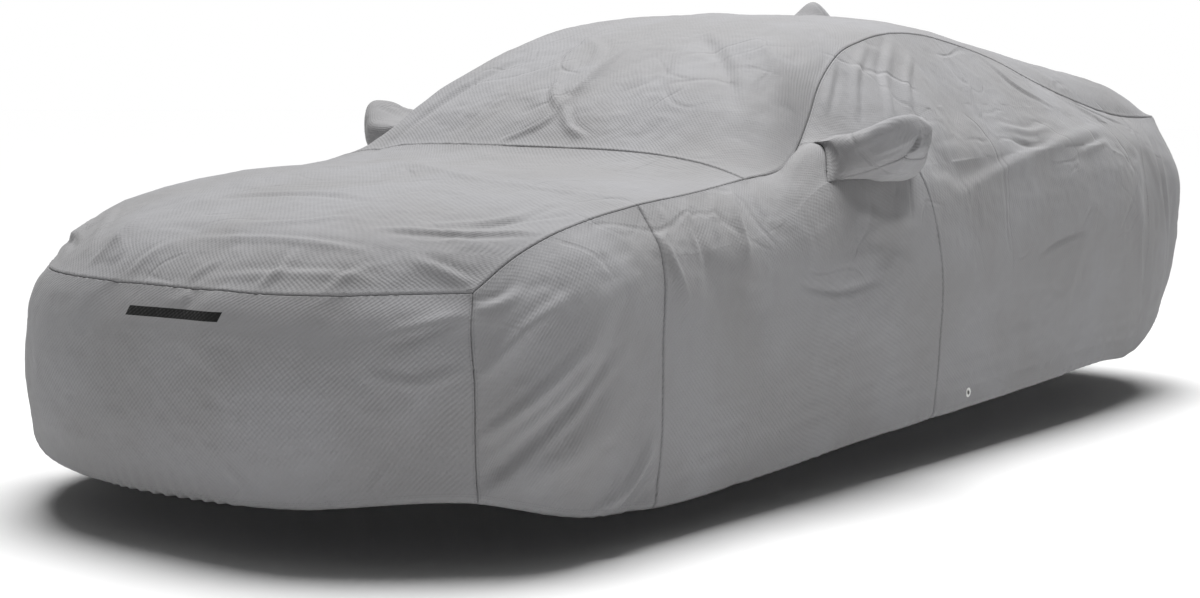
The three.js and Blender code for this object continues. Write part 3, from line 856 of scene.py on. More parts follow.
@dataclass(frozen=True)
class EyeletPlasticFinish:
    """White moulded plastic, a little scuffed."""

    colour: Colour = (0.83, 0.83, 0.81, 1.0)
    scuffed: Colour = (0.6, 0.6, 0.58, 1.0)
    scuff: float = 0.003                      # size of the scuffs
    scuff_depth: float = 0.0002

    def make(self) -> bpy.types.Material:
        """Makes the material."""
        shader = Shader("eyelet_plastic")
        scuffs = shader.noise(shader.place(), self.scuff, 4.0)
        return shader.finish({
            "Base Color": shader.mixed(scuffs.step(0.55, 0.75) * 0.5, self.colour, self.scuffed),
            "Roughness": 0.28 + scuffs * 0.25, "Normal": shader.bump(scuffs, self.scuff_depth),
            "Coat Weight": 0.2,
        })


@dataclass(frozen=True)
class FloorFinish:
    """The plain pale floor."""

    colour: Colour = (0.9, 0.9, 0.9, 1.0)
    roughness: float = 0.9

    def make(self) -> bpy.types.Material:
        """Makes the material."""
        shader = Shader("studio_floor")
        return shader.finish({"Base Color": self.colour, "Roughness": self.roughness})


def skirt_line(ribs: np.ndarray, level: float) -> np.ndarray:
    """The line of the skirt at one level."""
    return FORM.skirt(ribs, np.array([float(level)]))[0]


def skirt_drop(rib: float, levels: np.ndarray) -> np.ndarray:
    """The line of the skirt down one rib."""
    return FORM.skirt(np.array([float(rib)]), levels)[:, 0]


@dataclass
class SidePanels:
    """The skirt: front, fender, door, quarter and rear panels, with the patches for the eyelets."""

    middle: float = 2.5                       # the level at which the cells' length is measured
    eyelet_rib: float = 8.75
    eyelet_level: float = 4.75
    eyelet_reach: tuple[float, float] = (0.07, 0.11)     # ribs and levels around it with finer cells
    fine_cell: float = 0.0036
    hole: float = 0.0112                      # radius of the hole in the cloth, under the flange

    def grid(
        self, name: str, ribs: Sequence[float], sewn_ribs: Sequence[float], drop_rib: float,
        levels: Sequence[float] = (0, HEM),
    ) -> tuple[Sheet, np.ndarray, np.ndarray]:
        """A sheet of the skirt.

        Args:
            name: Its node.
            ribs: Where its columns must fall.
            sewn_ribs: Those of them that are sewn.
            drop_rib: The rib on which its rows are spaced.
            levels: Where its rows must fall.

        Returns:
            The sheet, and the rib and the level at the middle of each of its cells.
        """
        columns = spread(lambda at: skirt_line(at, self.middle), ribs, sewn_ribs)
        rows = spread(lambda at: skirt_drop(drop_rib, at), levels, levels[:-1])
        sheet = Sheet(name, FORM.skirt(columns, rows))
        rib = np.abs(columns[1:] + columns[:-1]) / 2
        level = (rows[1:] + rows[:-1]) / 2
        return sheet, *np.broadcast_arrays(rib[None], level[:, None])

    def build(self) -> list[Sheet]:
        """Makes the plain sheets.

        Returns:
            All of them.
        """
        front, _, _ = self.grid("front_panel", (-CORNER, 0, CORNER), (-CORNER, CORNER), 1)
        rear, _, _ = self.grid(
            "rear_panel", (REAR, TAIL_CORNER, TAIL, 2 * TAIL - TAIL_CORNER, 2 * TAIL - REAR),
            (REAR, 2 * TAIL - REAR), TAIL_CORNER,
        )
        sheets = [front, rear]
        for side, sign in SIDES:
            def turned(*ribs: float) -> list[float]:
                """The ribs of this side, in rising order."""
                return sorted(sign * rib for rib in ribs)

            fender, _, _ = self.grid(
                f"{side}_fender_panel", turned(CORNER, FENDER), turned(CORNER, FENDER), 3.5 * sign)
            door, rib, level = self.grid(
                f"{side}_door_panel", turned(FENDER, POCKET_FRONT, DOOR),
                turned(FENDER, POCKET_FRONT, DOOR), 7 * sign, (0, 2, HEM))
            door.cloth = (rib < POCKET_FRONT) | (level > 2)
            sheets += [fender, door, *self.quarter(side, sign)]
        return sheets

    def quarter(self, side: str, sign: int) -> list[Sheet]:
        """The quarter panel of one side, and the cloth around its eyelet, which has smaller cells.

        Args:
            side: left or right.
            sign: 1 on the left and -1 on the right.

        Returns:
            The quarter panel, ready but for its folds.
        """
        beside, above = self.eyelet_reach
        ribs = [POCKET_FRONT, DOOR, self.eyelet_rib - beside, self.eyelet_rib + beside, REAR]
        levels = [0, 1, 2, self.eyelet_level - above, self.eyelet_level + above, HEM]
        parts = []
        for start, stop in zip(ribs, ribs[1:]):
            cell = self.fine_cell if start == self.eyelet_rib - beside else CELL
            piece = spread(
                lambda at: skirt_line(at, self.middle), (start, stop), (POCKET_FRONT, DOOR, REAR), cell)
            parts.append(piece[:-1])
        columns = np.append(np.concatenate(parts), REAR)
        parts = []
        for start, stop in zip(levels, levels[1:]):
            cell = self.fine_cell if start == self.eyelet_level - above else CELL
            parts.append(spread(lambda at: skirt_drop(9, at), (start, stop), (0, 1, 2), cell)[:-1])
        rows = np.append(np.concatenate(parts), HEM)
        columns = columns if sign > 0 else -columns[::-1]
        points = FORM.skirt(columns, rows)
        rib = np.abs(columns[1:] + columns[:-1])[None] / 2
        level = ((rows[1:] + rows[:-1]) / 2)[:, None]
        middle = FORM.skirt(np.array([self.eyelet_rib * sign]), np.array([self.eyelet_level]))[0, 0]
        away = points - middle
        distance = np.linalg.norm(away, axis=-1)
        inside = distance < self.hole
        corner_inside = inside[1:, 1:] & inside[:-1, :-1] & inside[1:, :-1] & inside[:-1, 1:]
        points[inside] = middle + unit(away[inside]) * self.hole
        cloth = ((rib > DOOR) | (level < 1)) & ~corner_inside
        return [Sheet(f"{side}_quarter_panel", points, cloth, (f"{side}_eyelet_patch",))]


@dataclass
class TopPanels:
    """The hood and roof panels and the pocket for the aerial."""

    aerial_ribs: tuple[float, float] = (9.75, 10.25)
    aerial_across: float = 1 / 7
    aerial_height: float = 0.074
    aerial_lean: float = 1.3
    aerial_cell: float = 0.006
    half_width: float = 0.72

    def across(self, stops: Sequence[float], sewn: Sequence[float], cell: float = CELL) -> np.ndarray:
        """Places across the car."""
        return spread(lambda at: np.stack([at * self.half_width, 0 * at], axis=-1), stops, sewn, cell)

    def ribs(self, stops: Sequence[float], sewn: Sequence[float], cell: float = CELL) -> np.ndarray:
        """Places along the car."""
        return spread(lambda at: FORM.top(at, np.array([0.5]))[0], stops, sewn, cell)

    def build(self) -> list[Sheet]:
        """Makes the plain sheets.

        Returns:
            The hood, the roof and the aerial's pocket.
        """
        start, stop = self.aerial_ribs
        hood = FORM.top(self.ribs((CORNER, COWL), (CORNER, COWL)), self.across((-1, 1), (-1, 1)))
        columns = self.ribs((COWL, start, stop, TAIL_CORNER), (COWL, start, stop, TAIL_CORNER))
        rows = self.across((-1, -self.aerial_across, self.aerial_across, 1), (-1, 1))
        rib, place = (columns[1:] + columns[:-1]) / 2, (rows[1:] + rows[:-1])[:, None] / 2
        cloth = (rib < start) | (rib > stop) | (np.abs(place) > self.aerial_across)
        return [
            Sheet("hood_panel", hood), Sheet("roof_panel", FORM.top(columns, rows), cloth), self.aerial(),
        ]

    def aerial(self) -> Sheet:
        """The pocket for the aerial: a patch of the roof raised into a fin."""
        start, stop = self.aerial_ribs
        columns = self.ribs((start, stop), (start, stop), self.aerial_cell)
        rows = self.across((-self.aerial_across, self.aerial_across), (), self.aerial_cell)
        points = FORM.top(columns, rows)
        back = (columns - start) / (stop - start)
        half = (np.abs(rows) / self.aerial_across)[:, None]
        rise = np.sin(np.pi * back ** self.aerial_lean) ** 2 * (1 - half ** 2) ** 2
        points[..., 2] += self.aerial_height * rise
        return Sheet("aerial_pocket", points)


@dataclass
class MirrorPockets:
    """The bags for the door mirrors, each with a crescent gusset under it."""

    middles: tuple[tuple[float, float, float], ...] = (
        (0.930, -0.333, 0.962), (0.985, -0.338, 0.987), (1.034, -0.342, 1.011), (1.050, -0.343, 1.013),
    )
    halves: tuple[tuple[float, float], ...] = (     # half the length and the height of its sections
        (0.190, 0.064), (0.138, 0.066), (0.078, 0.060), (0.046, 0.034),
    )
    tip: tuple[float, float, float] = (1.055, -0.343, 1.013)
    squareness: int = 4
    gusset_end: int = 3                       # the section where the gusset ends
    cell: float = 0.006

    def lengthwise(self, around: np.ndarray) -> np.ndarray:
        """Lines along the bag, from the skirt to its tip.

        Args:
            around: Places around the mouth, 0 at its upper rear corner, a side each.

        Returns:
            The points, by section and then by place around.
        """
        side, part = np.minimum(np.floor(around), 3).astype(int), around - np.minimum(np.floor(around), 3)
        along = np.choose(side, [1 - 2 * part, -1 + 0 * part, 2 * part - 1, 1 + 0 * part])
        up = np.choose(side, [1 + 0 * part, 1 - 2 * part, -1 + 0 * part, 2 * part - 1])
        power = self.squareness
        shrink = (np.abs(along) ** power + np.abs(up) ** power) ** (-1 / power)
        mouth = np.array([
            FORM.skirt(np.array([7 + a]), np.array([1.5 - u / 2]))[0, 0] for a, u in zip(along, up)
        ])
        lines = [mouth]
        for middle, (length, height) in zip(self.middles, self.halves):
            ring = np.stack([0 * along, length * along * shrink, height * up * shrink], axis=-1)
            lines.append(FORM.placed(ring + middle))
        lines.append(np.broadcast_to(FORM.placed(np.array(self.tip)), mouth.shape))
        return np.stack(lines)

    def build(self) -> list[Sheet]:
        """Makes the plain sheets.

        Returns:
            A pocket and a gusset for each side.
        """
        around = spread(lambda at: self.lengthwise(at)[1], (0, 2, 4), (0, 2, 4), self.cell)
        spline = Spline(self.lengthwise(around))
        sections = spread(
            lambda at: spline.at(at)[:, 0], (0, self.gusset_end, len(self.middles) + 1),
            (0, self.gusset_end), self.cell,
        )
        points = np.swapaxes(spline.at(sections), 0, 1)
        under = ((around[1:] + around[:-1]) / 2 > 2)[:, None]
        beyond = (sections[1:] + sections[:-1]) / 2 > self.gusset_end
        sheets = []
        for side, sign in SIDES:
            placed = points[::sign] * [sign, 1, 1]
            for piece, cloth in (("pocket", ~under | beyond), ("gusset", under & ~beyond)):
                sheets.append(Sheet(f"{side}_mirror_{piece}", placed, cloth[::sign]))
        return sheets

    def seams(self, sign: int) -> list[Stitching]:
        """The seams around the mouth and the gusset of one side."""
        spline = Spline(self.lengthwise(np.linspace(0, 4, 400)))
        mouth = spline.at(np.zeros(1))[0]
        end = spline.at(np.array([float(self.gusset_end)]))[0][200:]
        edges = Spline(self.lengthwise(np.array([2.0, 4.0]))).at(np.linspace(0, self.gusset_end, 150))
        flip = np.array([sign, 1, 1])
        return [Stitching(chain * flip, "mirror", 0.8) for chain in (mouth, end, edges[:, 0], edges[:, 1])]


NOISE_SHIFTS = (7.0, 3.3, 5.0)     # where noise is read again for something else, away from its first use


@dataclass(frozen=True)
class Relief:
    """How seams, the hem and slack shape the cloth, in metres."""

    groove: float = 0.0034                    # how deep a seam sinks
    groove_width: float = 0.0021
    lap: float = 0.0012                       # the folded edge of the upper cloth
    lap_width: float = 0.0085
    lap_end: float = 0.002                    # over how much it falls back
    pucker: float = 0.0011                    # small gathers across a seam
    pucker_length: float = 0.019
    pucker_reach: float = 0.022
    patches: tuple[float, float] = (0.55, 0.9)           # how strong they are, and how much that varies
    patch_length: float = 0.11
    drift: float = 2.4                        # how unevenly they are spaced, in radians
    drift_length: float = 0.05
    drawn: float = 0.0022                     # how far a seam draws the cloth in around it
    drawn_reach: float = 0.05
    gather: float = 0.0065                    # gathers of the elastic hem
    gather_length: float = 0.046
    gather_reach: float = 0.055
    gather_patches: tuple[float, float] = (0.5, 1.6)
    gather_limits: tuple[float, float] = (0.05, 1.8)
    gather_patch_length: float = 0.23
    gather_drift: float = 3.2
    gather_drift_length: float = 0.16
    tuck: float = 0.012                       # how far the hem turns under
    tuck_reach: float = 0.028
    slack: float = 0.0042                     # uneven hang of the cloth between seams
    slack_length: tuple[float, float, float] = (0.34, 0.42, 0.26)
    slack_detail: float = 0.17
    cockle: float = 0.0014                    # its smaller unevenness
    cockle_length: float = 0.085
    cockle_detail: float = 0.04
    held: float = 0.008                       # how far from a seam the cloth lies close
    free: float = 0.09                        # how far from a seam the cloth hangs freely
    pocket_free: float = 0.03
    pocket_cockle: float = 0.008              # unevenness of the mirror pockets
    pocket_puff: float = 0.014                # how much fuller they hang than their form
    pocket_reach: float = 0.05

    def seams(self, sheet: Sheet, seams: StitchingMap, noise: Ripple) -> np.ndarray:
        """What the seams add to a sheet's lift."""
        gap, run = sheet.seam.gap, sheet.seam.run
        laps = [any(name in sheet.name for name in line.over.split()) for line in seams.lines]
        over = np.array(laps)[sheet.seam.line]
        strength = np.array([line.pucker for line in seams.lines])[sheet.seam.line]
        chain = seams.chain[sheet.seam.index]
        patchy = self.patches[0] + self.patches[1] * noise.at(chain, self.patch_length)
        drift = self.drift * noise.at(chain + NOISE_SHIFTS[0], self.drift_length)
        wave = np.sin(2 * np.pi * run / self.pucker_length + drift)
        rise = strength * self.pucker * patchy * wave * np.exp(-gap / self.pucker_reach)
        rise -= self.drawn * strength * np.exp(-((gap / self.drawn_reach) ** 2))
        rise -= self.groove * sheet.seam.depth * np.exp(-((gap / self.groove_width) ** 2))
        lap = ease(gap / self.groove_width - 0.5) * (1 - ease((gap - self.lap_width) / self.lap_end))
        return rise + np.where(over, self.lap, 0) * lap

    def hem(self, sheet: Sheet, noise: Ripple, gathered: Callable[[np.ndarray], np.ndarray]) -> np.ndarray:
        """What the elastic hem adds to a sheet's lift."""
        gap, run = sheet.hem.gap, sheet.hem.run
        places = np.stack([run, 0 * run, 0 * run], axis=-1)
        drift = self.gather_drift * noise.at(places, self.gather_drift_length)
        wave = np.sin(2 * np.pi * run / self.gather_length + drift)
        varied = noise.at(places + NOISE_SHIFTS[1], self.gather_patch_length)
        uneven = np.clip(self.gather_patches[0] + self.gather_patches[1] * varied, *self.gather_limits)
        fade = np.exp(-((gap / self.gather_reach) ** 1.5))
        rise = gathered(sheet.points) * self.gather * uneven * wave * fade
        return rise - self.tuck * np.clip(1 - gap / self.tuck_reach, 0, 1) ** 2

    def slackness(self, sheet: Sheet, noise: Ripple) -> np.ndarray:
        """What the uneven hang of the cloth adds to a sheet's lift, little beside its seams."""
        broad = noise.at(sheet.points, self.slack_length)
        broad += 0.5 * noise.at(sheet.points + NOISE_SHIFTS[2], self.slack_detail)
        small = noise.at(sheet.points, self.cockle_length)
        small += 0.5 * noise.at(sheet.points, self.cockle_detail)
        if "mirror" in sheet.name:
            reach, crumpled = self.pocket_free, self.pocket_cockle
            puffed = self.pocket_puff * ease(sheet.seam.gap / self.pocket_reach)
        else:
            reach, crumpled, puffed = self.free, self.cockle, 0
        free = ease((sheet.seam.gap - self.held) / reach)
        return free * (self.slack * broad + crumpled * small) + puffed


S, T = Region.SKIRT, Region.TOP
FOLDS = (
    # broad folds: the sides', then the windscreen's and the hood's
    Fold(S, ((2.05, 3.8), (2.6, 3.15), (3.2, 2.5)), 9, 45, mirrored=True),
    Fold(S, ((2.05, 4.4), (2.7, 3.75), (3.35, 3.1)), -8, 38, mirrored=True),
    Fold(S, ((2.05, 4.9), (2.85, 4.1), (3.5, 3.5)), 9, 42, mirrored=True),
    Fold(S, ((2.05, 2.9), (2.45, 2.3), (3.0, 1.9)), 7, 40, mirrored=True),
    Fold(S, ((3.35, 4.95), (3.65, 4.45), (3.9, 3.95)), 12, 42, mirrored=True),
    Fold(S, ((3.7, 5), (3.9, 4.6)), -10, 34, mirrored=True),
    Fold(S, ((4.03, 1.2), (4.08, 2.0), (4.2, 2.7)), 8, 34, mirrored=True),
    Fold(S, ((4.4, 0.5), (4.3, 1.9), (4.4, 2.7)), -7, 34, mirrored=True),
    Fold(S, ((4.8, 0.4), (4.65, 1.9), (4.65, 2.6)), 8, 36, mirrored=True),
    Fold(S, ((5.2, 2.8), (5.8, 3.05), (6.6, 3.0)), -6, 45, mirrored=True),
    Fold(S, ((6.2, 2.3), (7.0, 2.5), (7.8, 2.4)), 8, 45, mirrored=True),
    Fold(S, ((8.6, 0.1), (8.4, 0.9), (8.2, 1.6)), -12, 50, mirrored=True),
    Fold(S, ((9.1, 0.1), (8.8, 1.0), (8.5, 1.8)), 10, 46, mirrored=True),
    Fold(S, ((9.5, 0.2), (9.2, 1.0), (9.0, 1.6)), -8, 42, mirrored=True),
    Fold(S, ((8.25, 1.95), (8.9, 2.2), (9.6, 2.15)), -10, 55, mirrored=True),
    Fold(S, ((8.6, 2.4), (10.1, 2.0), (11.2, 1.4)), 9, 50, mirrored=True),
    Fold(S, ((9.8, 3.3), (10.2, 3.2), (10.6, 3.1)), -6, 40, mirrored=True),
    Fold(S, ((11.8, 1.5), (11.7, 3.0), (12.0, 4.6)), 8, 45, mirrored=True),
    Fold(S, ((12.5, 1.6), (12.6, 3.2), (12.7, 4.7)), -8, 45, mirrored=True),
    Fold(T, ((5.6, 0), (6.2, 0.02), (7.1, 0)), 9, 45),
    Fold(T, ((7.4, 0.25), (6.5, 0.62), (5.8, 0.78)), -12, 65),
    Fold(T, ((7.4, 0.6), (6.8, 0.84), (6.3, 0.93)), 9, 50),
    Fold(T, ((4.9, -0.77), (5.7, -0.68), (6.7, -0.58)), -9, 60),
    Fold(T, ((4.6, -0.48), (4.0, 0.15), (3.85, 0.5)), 8, 60),
    Fold(T, ((3.7, 0.84), (3.25, 0.82), (2.9, 0.7)), -7, 55),
    Fold(T, ((2.15, -0.25), (2.4, -0.28), (2.8, -0.34)), 9, 40),
    # finer creases: the fender's diagonal drags
    Fold(S, ((2.05, 3.78), (2.62, 3.15), (3.23, 2.51)), 5, 16, 0.6, mirrored=True),
    Fold(S, ((2.03, 4.89), (2.84, 3.64), (3.44, 2.93)), 6, 18, 0.6, mirrored=True),
    Fold(S, ((2.04, 4.3), (2.6, 3.5), (3.1, 3.0)), 4, 15, -0.5, mirrored=True),
    Fold(S, ((2.04, 2.88), (2.46, 2.28), (3.03, 1.88)), 5, 15, 0.5, mirrored=True),
    Fold(S, ((2.04, 1.4), (2.3, 1.5), (2.55, 1.3)), 5, 17, 0.6, mirrored=True),
    # crumpling above the fender's hem
    Fold(S, ((3.32, 4.94), (3.64, 4.47), (3.88, 3.97)), 6, 14, 0.7, mirrored=True),
    Fold(S, ((3.5, 5.0), (3.75, 4.6), (3.93, 4.2)), -6, 12, 0.5, mirrored=True),
    Fold(S, ((3.6, 5.0), (3.8, 4.75), (3.96, 4.5)), 5, 10, -0.6, mirrored=True),
    Fold(S, ((3.2, 4.97), (3.42, 4.7), (3.55, 4.35)), 4, 12, 0.5, mirrored=True),
    # gathers under the seam beside the cowl
    Fold(S, ((4.03, 1.3), (4.06, 1.98), (4.17, 2.57)), 4, 13, 0.6, mirrored=True),
    Fold(S, ((4.15, 0.3), (4.12, 1.0), (4.05, 1.5)), 4, 12, -0.5, mirrored=True),
    Fold(S, ((4.38, 0.3), (4.28, 1.4), (4.3, 2.2)), 5, 14, 0.6, mirrored=True),
    Fold(S, ((4.62, 0.3), (4.5, 1.1), (4.45, 1.8)), 4, 13, -0.5, mirrored=True),
    Fold(S, ((4.80, 0.3), (4.68, 1.2), (4.64, 2.2)), 5, 15, 0.6, mirrored=True),
    Fold(S, ((5.05, 0.3), (4.95, 0.9), (4.9, 1.5)), 3, 13, -0.5, mirrored=True),
    Fold(S, ((5.17, 2.80), (5.75, 3.03), (6.51, 3.03)), -3, 13, -0.6, mirrored=True),
    # the side windows' folds, from the seam down
    Fold(S, ((7.82, 0.02), (7.3, 0.15), (6.78, 0.3)), 4, 15, 0.5, mirrored=True),
    Fold(S, ((8.63, 0.05), (8.0, 0.35), (7.4, 0.7)), 5, 16, 0.6, mirrored=True),
    Fold(S, ((9.06, 0.08), (8.5, 0.5), (8.1, 0.95)), 6, 18, -0.6, mirrored=True),
    Fold(S, ((9.17, 0.3), (8.8, 0.6), (8.36, 1.2)), 5, 14, 0.5, mirrored=True),
    Fold(S, ((9.75, 0.05), (9.7, 0.6), (9.55, 1.2)), 4, 14, 0.6, mirrored=True),
    Fold(S, ((10.3, 0.05), (10.4, 0.5), (10.75, 0.9)), 4, 14, -0.6, mirrored=True),
    # drags over the quarter panel
    Fold(S, ((9.7, 1.45), (10.1, 1.6), (10.4, 1.5)), 5, 15, 0.6, mirrored=True),
    Fold(S, ((9.75, 1.75), (10.0, 1.9), (10.3, 1.82)), -5, 13, 0.6, mirrored=True),
    Fold(S, ((10.55, 2.1), (10.9, 2.0), (11.15, 1.8)), 4, 13, 0.6, mirrored=True),
    Fold(S, ((8.60, 2.36), (10.10, 1.98), (11.21, 1.40)), 4, 22, 0.4, mirrored=True),
    Fold(S, ((9.85, 3.33), (10.22, 3.22), (10.59, 3.15)), 3, 12, 0.6, mirrored=True),
    Fold(S, ((11.0, 0.3), (11.2, 0.7), (11.5, 1.0)), 5, 15, 0.6, mirrored=True),
    Fold(S, ((11.3, 0.1), (11.6, 0.5), (11.9, 0.7)), -5, 14, 0.5, mirrored=True),
    Fold(S, ((11.93, 0.90), (11.71, 3.40), (12.12, 4.64)), 4, 14, 0.5, mirrored=True),
    Fold(S, ((12.1, 0.3), (12.15, 1.6), (12.3, 2.6)), 5, 16, 0.6, mirrored=True),
    Fold(S, ((12.4, 0.4), (12.4, 2.0), (12.6, 3.9)), -5, 16, 0.6, mirrored=True),
    # windscreen
    Fold(T, ((5.55, 0.01), (6.22, 0.02), (7.13, -0.01)), 6, 15, 0.7),
    Fold(T, ((5.68, 0.02), (5.35, 0.0), (5.07, -0.14)), 7, 13, -0.6),
    Fold(T, ((5.7, -0.01), (5.25, 0.16), (5.16, 0.24)), 7, 13, 0.6),
    Fold(T, ((5.5, 0.03), (5.8, -0.1), (6.1, -0.16)), 6, 13, 0.5),
    Fold(T, ((7.49, 0.25), (6.47, 0.63), (5.82, 0.78)), -4, 24, 0.4),
    Fold(T, ((7.40, 0.60), (6.74, 0.85), (6.33, 0.94)), 3, 18, 0.4),
    Fold(T, ((7.31, -0.38), (6.80, -0.15), (6.36, -0.07)), 5, 20, 0.6),
    Fold(T, ((7.2, 0.3), (6.6, 0.36), (6.1, 0.45)), 4, 30, 0.4),
    Fold(T, ((4.89, -0.77), (5.69, -0.68), (6.64, -0.58)), -4, 20, 0.5),
    # hood
    Fold(T, ((4.61, -0.48), (4.01, 0.16), (3.85, 0.47), (3.90, 0.76), (4.08, 0.97)), 3, 20, 0.5),
    Fold(T, ((3.71, 0.84), (3.25, 0.82), (2.93, 0.69)), 3, 15, 0.6),
    Fold(T, ((3.5, 0.95), (3.2, 0.85), (2.9, 0.8)), -3, 14, 0.5),
    Fold(T, ((3.1, 0.96), (2.9, 0.8), (2.8, 0.6)), 4, 14, 0.6),
    Fold(T, ((2.50, 0.05), (2.53, 0.42), (2.46, 0.61)), 4, 14, 0.6),
    Fold(T, ((2.13, -0.31), (2.37, -0.28), (2.70, -0.33)), 4, 15, 0.6),
    Fold(T, ((2.16, -0.22), (2.28, -0.21), (2.43, -0.29)), 3, 12, -0.5),
    Fold(T, ((2.38, 0.76), (2.21, 0.89), (2.10, 0.97)), 5, 16, 0.6),
    Fold(T, ((2.1, 0.2), (2.2, 0.45), (2.15, 0.7)), 3, 14, 0.6),
    Fold(T, ((2.1, -0.75), (2.35, -0.72), (2.6, -0.8)), 6, 20, 0.6),
    Fold(T, ((2.12, -0.9), (2.3, -0.6), (2.25, -0.5)), -5, 16, 0.6),
    Fold(T, ((2.15, -0.55), (2.4, -0.62), (2.7, -0.6)), 5, 15, 0.6),
    Fold(T, ((2.2, -0.35), (2.55, -0.5), (2.9, -0.75)), 3, 16, -0.6),
    Fold(T, ((2.04, -0.12), (2.2, -0.1), (2.42, -0.04)), 3, 13, 0.5),
    Fold(T, ((2.04, 0.12), (2.16, 0.15), (2.3, 0.2)), 3, 12, -0.6),
    Fold(T, ((2.04, 0.36), (2.18, 0.4), (2.42, 0.42)), 4, 13, 0.6),
    Fold(T, ((2.04, 0.58), (2.15, 0.6), (2.3, 0.66)), 3, 12, 0.5),
    Fold(T, ((2.7, 0.1), (2.78, 0.3), (2.95, 0.45)), 3, 15, 0.6),
    Fold(T, ((3.1, -0.2), (3.25, 0.1), (3.2, 0.4)), -3, 18, 0.6),
    # roof, deck and tail
    Fold(T, ((8.6, -0.2), (9.8, -0.32), (11.0, -0.25)), 6, 60),
    Fold(T, ((8.4, 0.35), (9.4, 0.28), (10.4, 0.36)), -5, 55),
    Fold(T, ((11.2, 0.4), (11.9, 0.5), (12.6, 0.45)), -6, 50),
    Fold(T, ((12.7, -0.6), (12.2, -0.5), (11.6, -0.55)), 5, 40),
    Fold(T, ((12.7, 0.1), (12.4, 0.15), (12.0, 0.12)), 4, 16, 0.6),
    Fold(T, ((12.7, -0.85), (12.3, -0.8), (11.8, -0.86)), 4, 15, -0.6),
    Fold(S, ((13.4, 0.3), (13.5, 2.0), (13.4, 3.6)), 7, 50, mirrored=True),
    Fold(S, ((14.3, 0.3), (14.2, 1.8), (14.4, 3.3)), -6, 45),
    Fold(S, ((13.1, 0.2), (13.3, 1.1), (13.2, 2.0)), 5, 16, 0.6, mirrored=True),
    Fold(S, ((14.0, 4.97), (14.05, 4.5), (13.9, 4.1)), 5, 15, 0.6, mirrored=True),
    Fold(S, ((14.6, 4.97), (14.6, 4.6), (14.7, 4.3)), 4, 14, -0.6),
    # the front panel's soft bands, and its drags from the corner seam
    Fold(S, ((-1.25, 0.3), (-1.2, 1.4), (-1.25, 2.6)), 6, 55),
    Fold(S, ((-0.35, 0.2), (-0.3, 1.2), (-0.4, 2.3)), -6, 60),
    Fold(S, ((0.45, 0.2), (0.5, 1.3), (0.42, 2.8)), 7, 55),
    Fold(S, ((1.2, 0.3), (1.25, 1.3), (1.15, 2.4)), -6, 50),
    Fold(S, ((1.97, 1.5), (1.75, 2.0), (1.5, 2.2)), 4, 16, 0.6),
    Fold(S, ((1.97, 2.7), (1.7, 2.9), (1.45, 2.8)), 3, 15, -0.6),
    Fold(S, ((0.25, 0.4), (0.3, 0.9), (0.15, 1.4)), 3, 15, 0.6),
    Fold(S, ((0.6, 4.97), (0.7, 4.6), (0.6, 4.3)), 4, 14, 0.6),
    Fold(S, ((1.1, 4.97), (1.15, 4.7), (1.3, 4.45)), 4, 13, -0.6),
    Fold(S, ((1.5, 4.97), (1.45, 4.6), (1.55, 4.2)), 3, 13, 0.6),
)


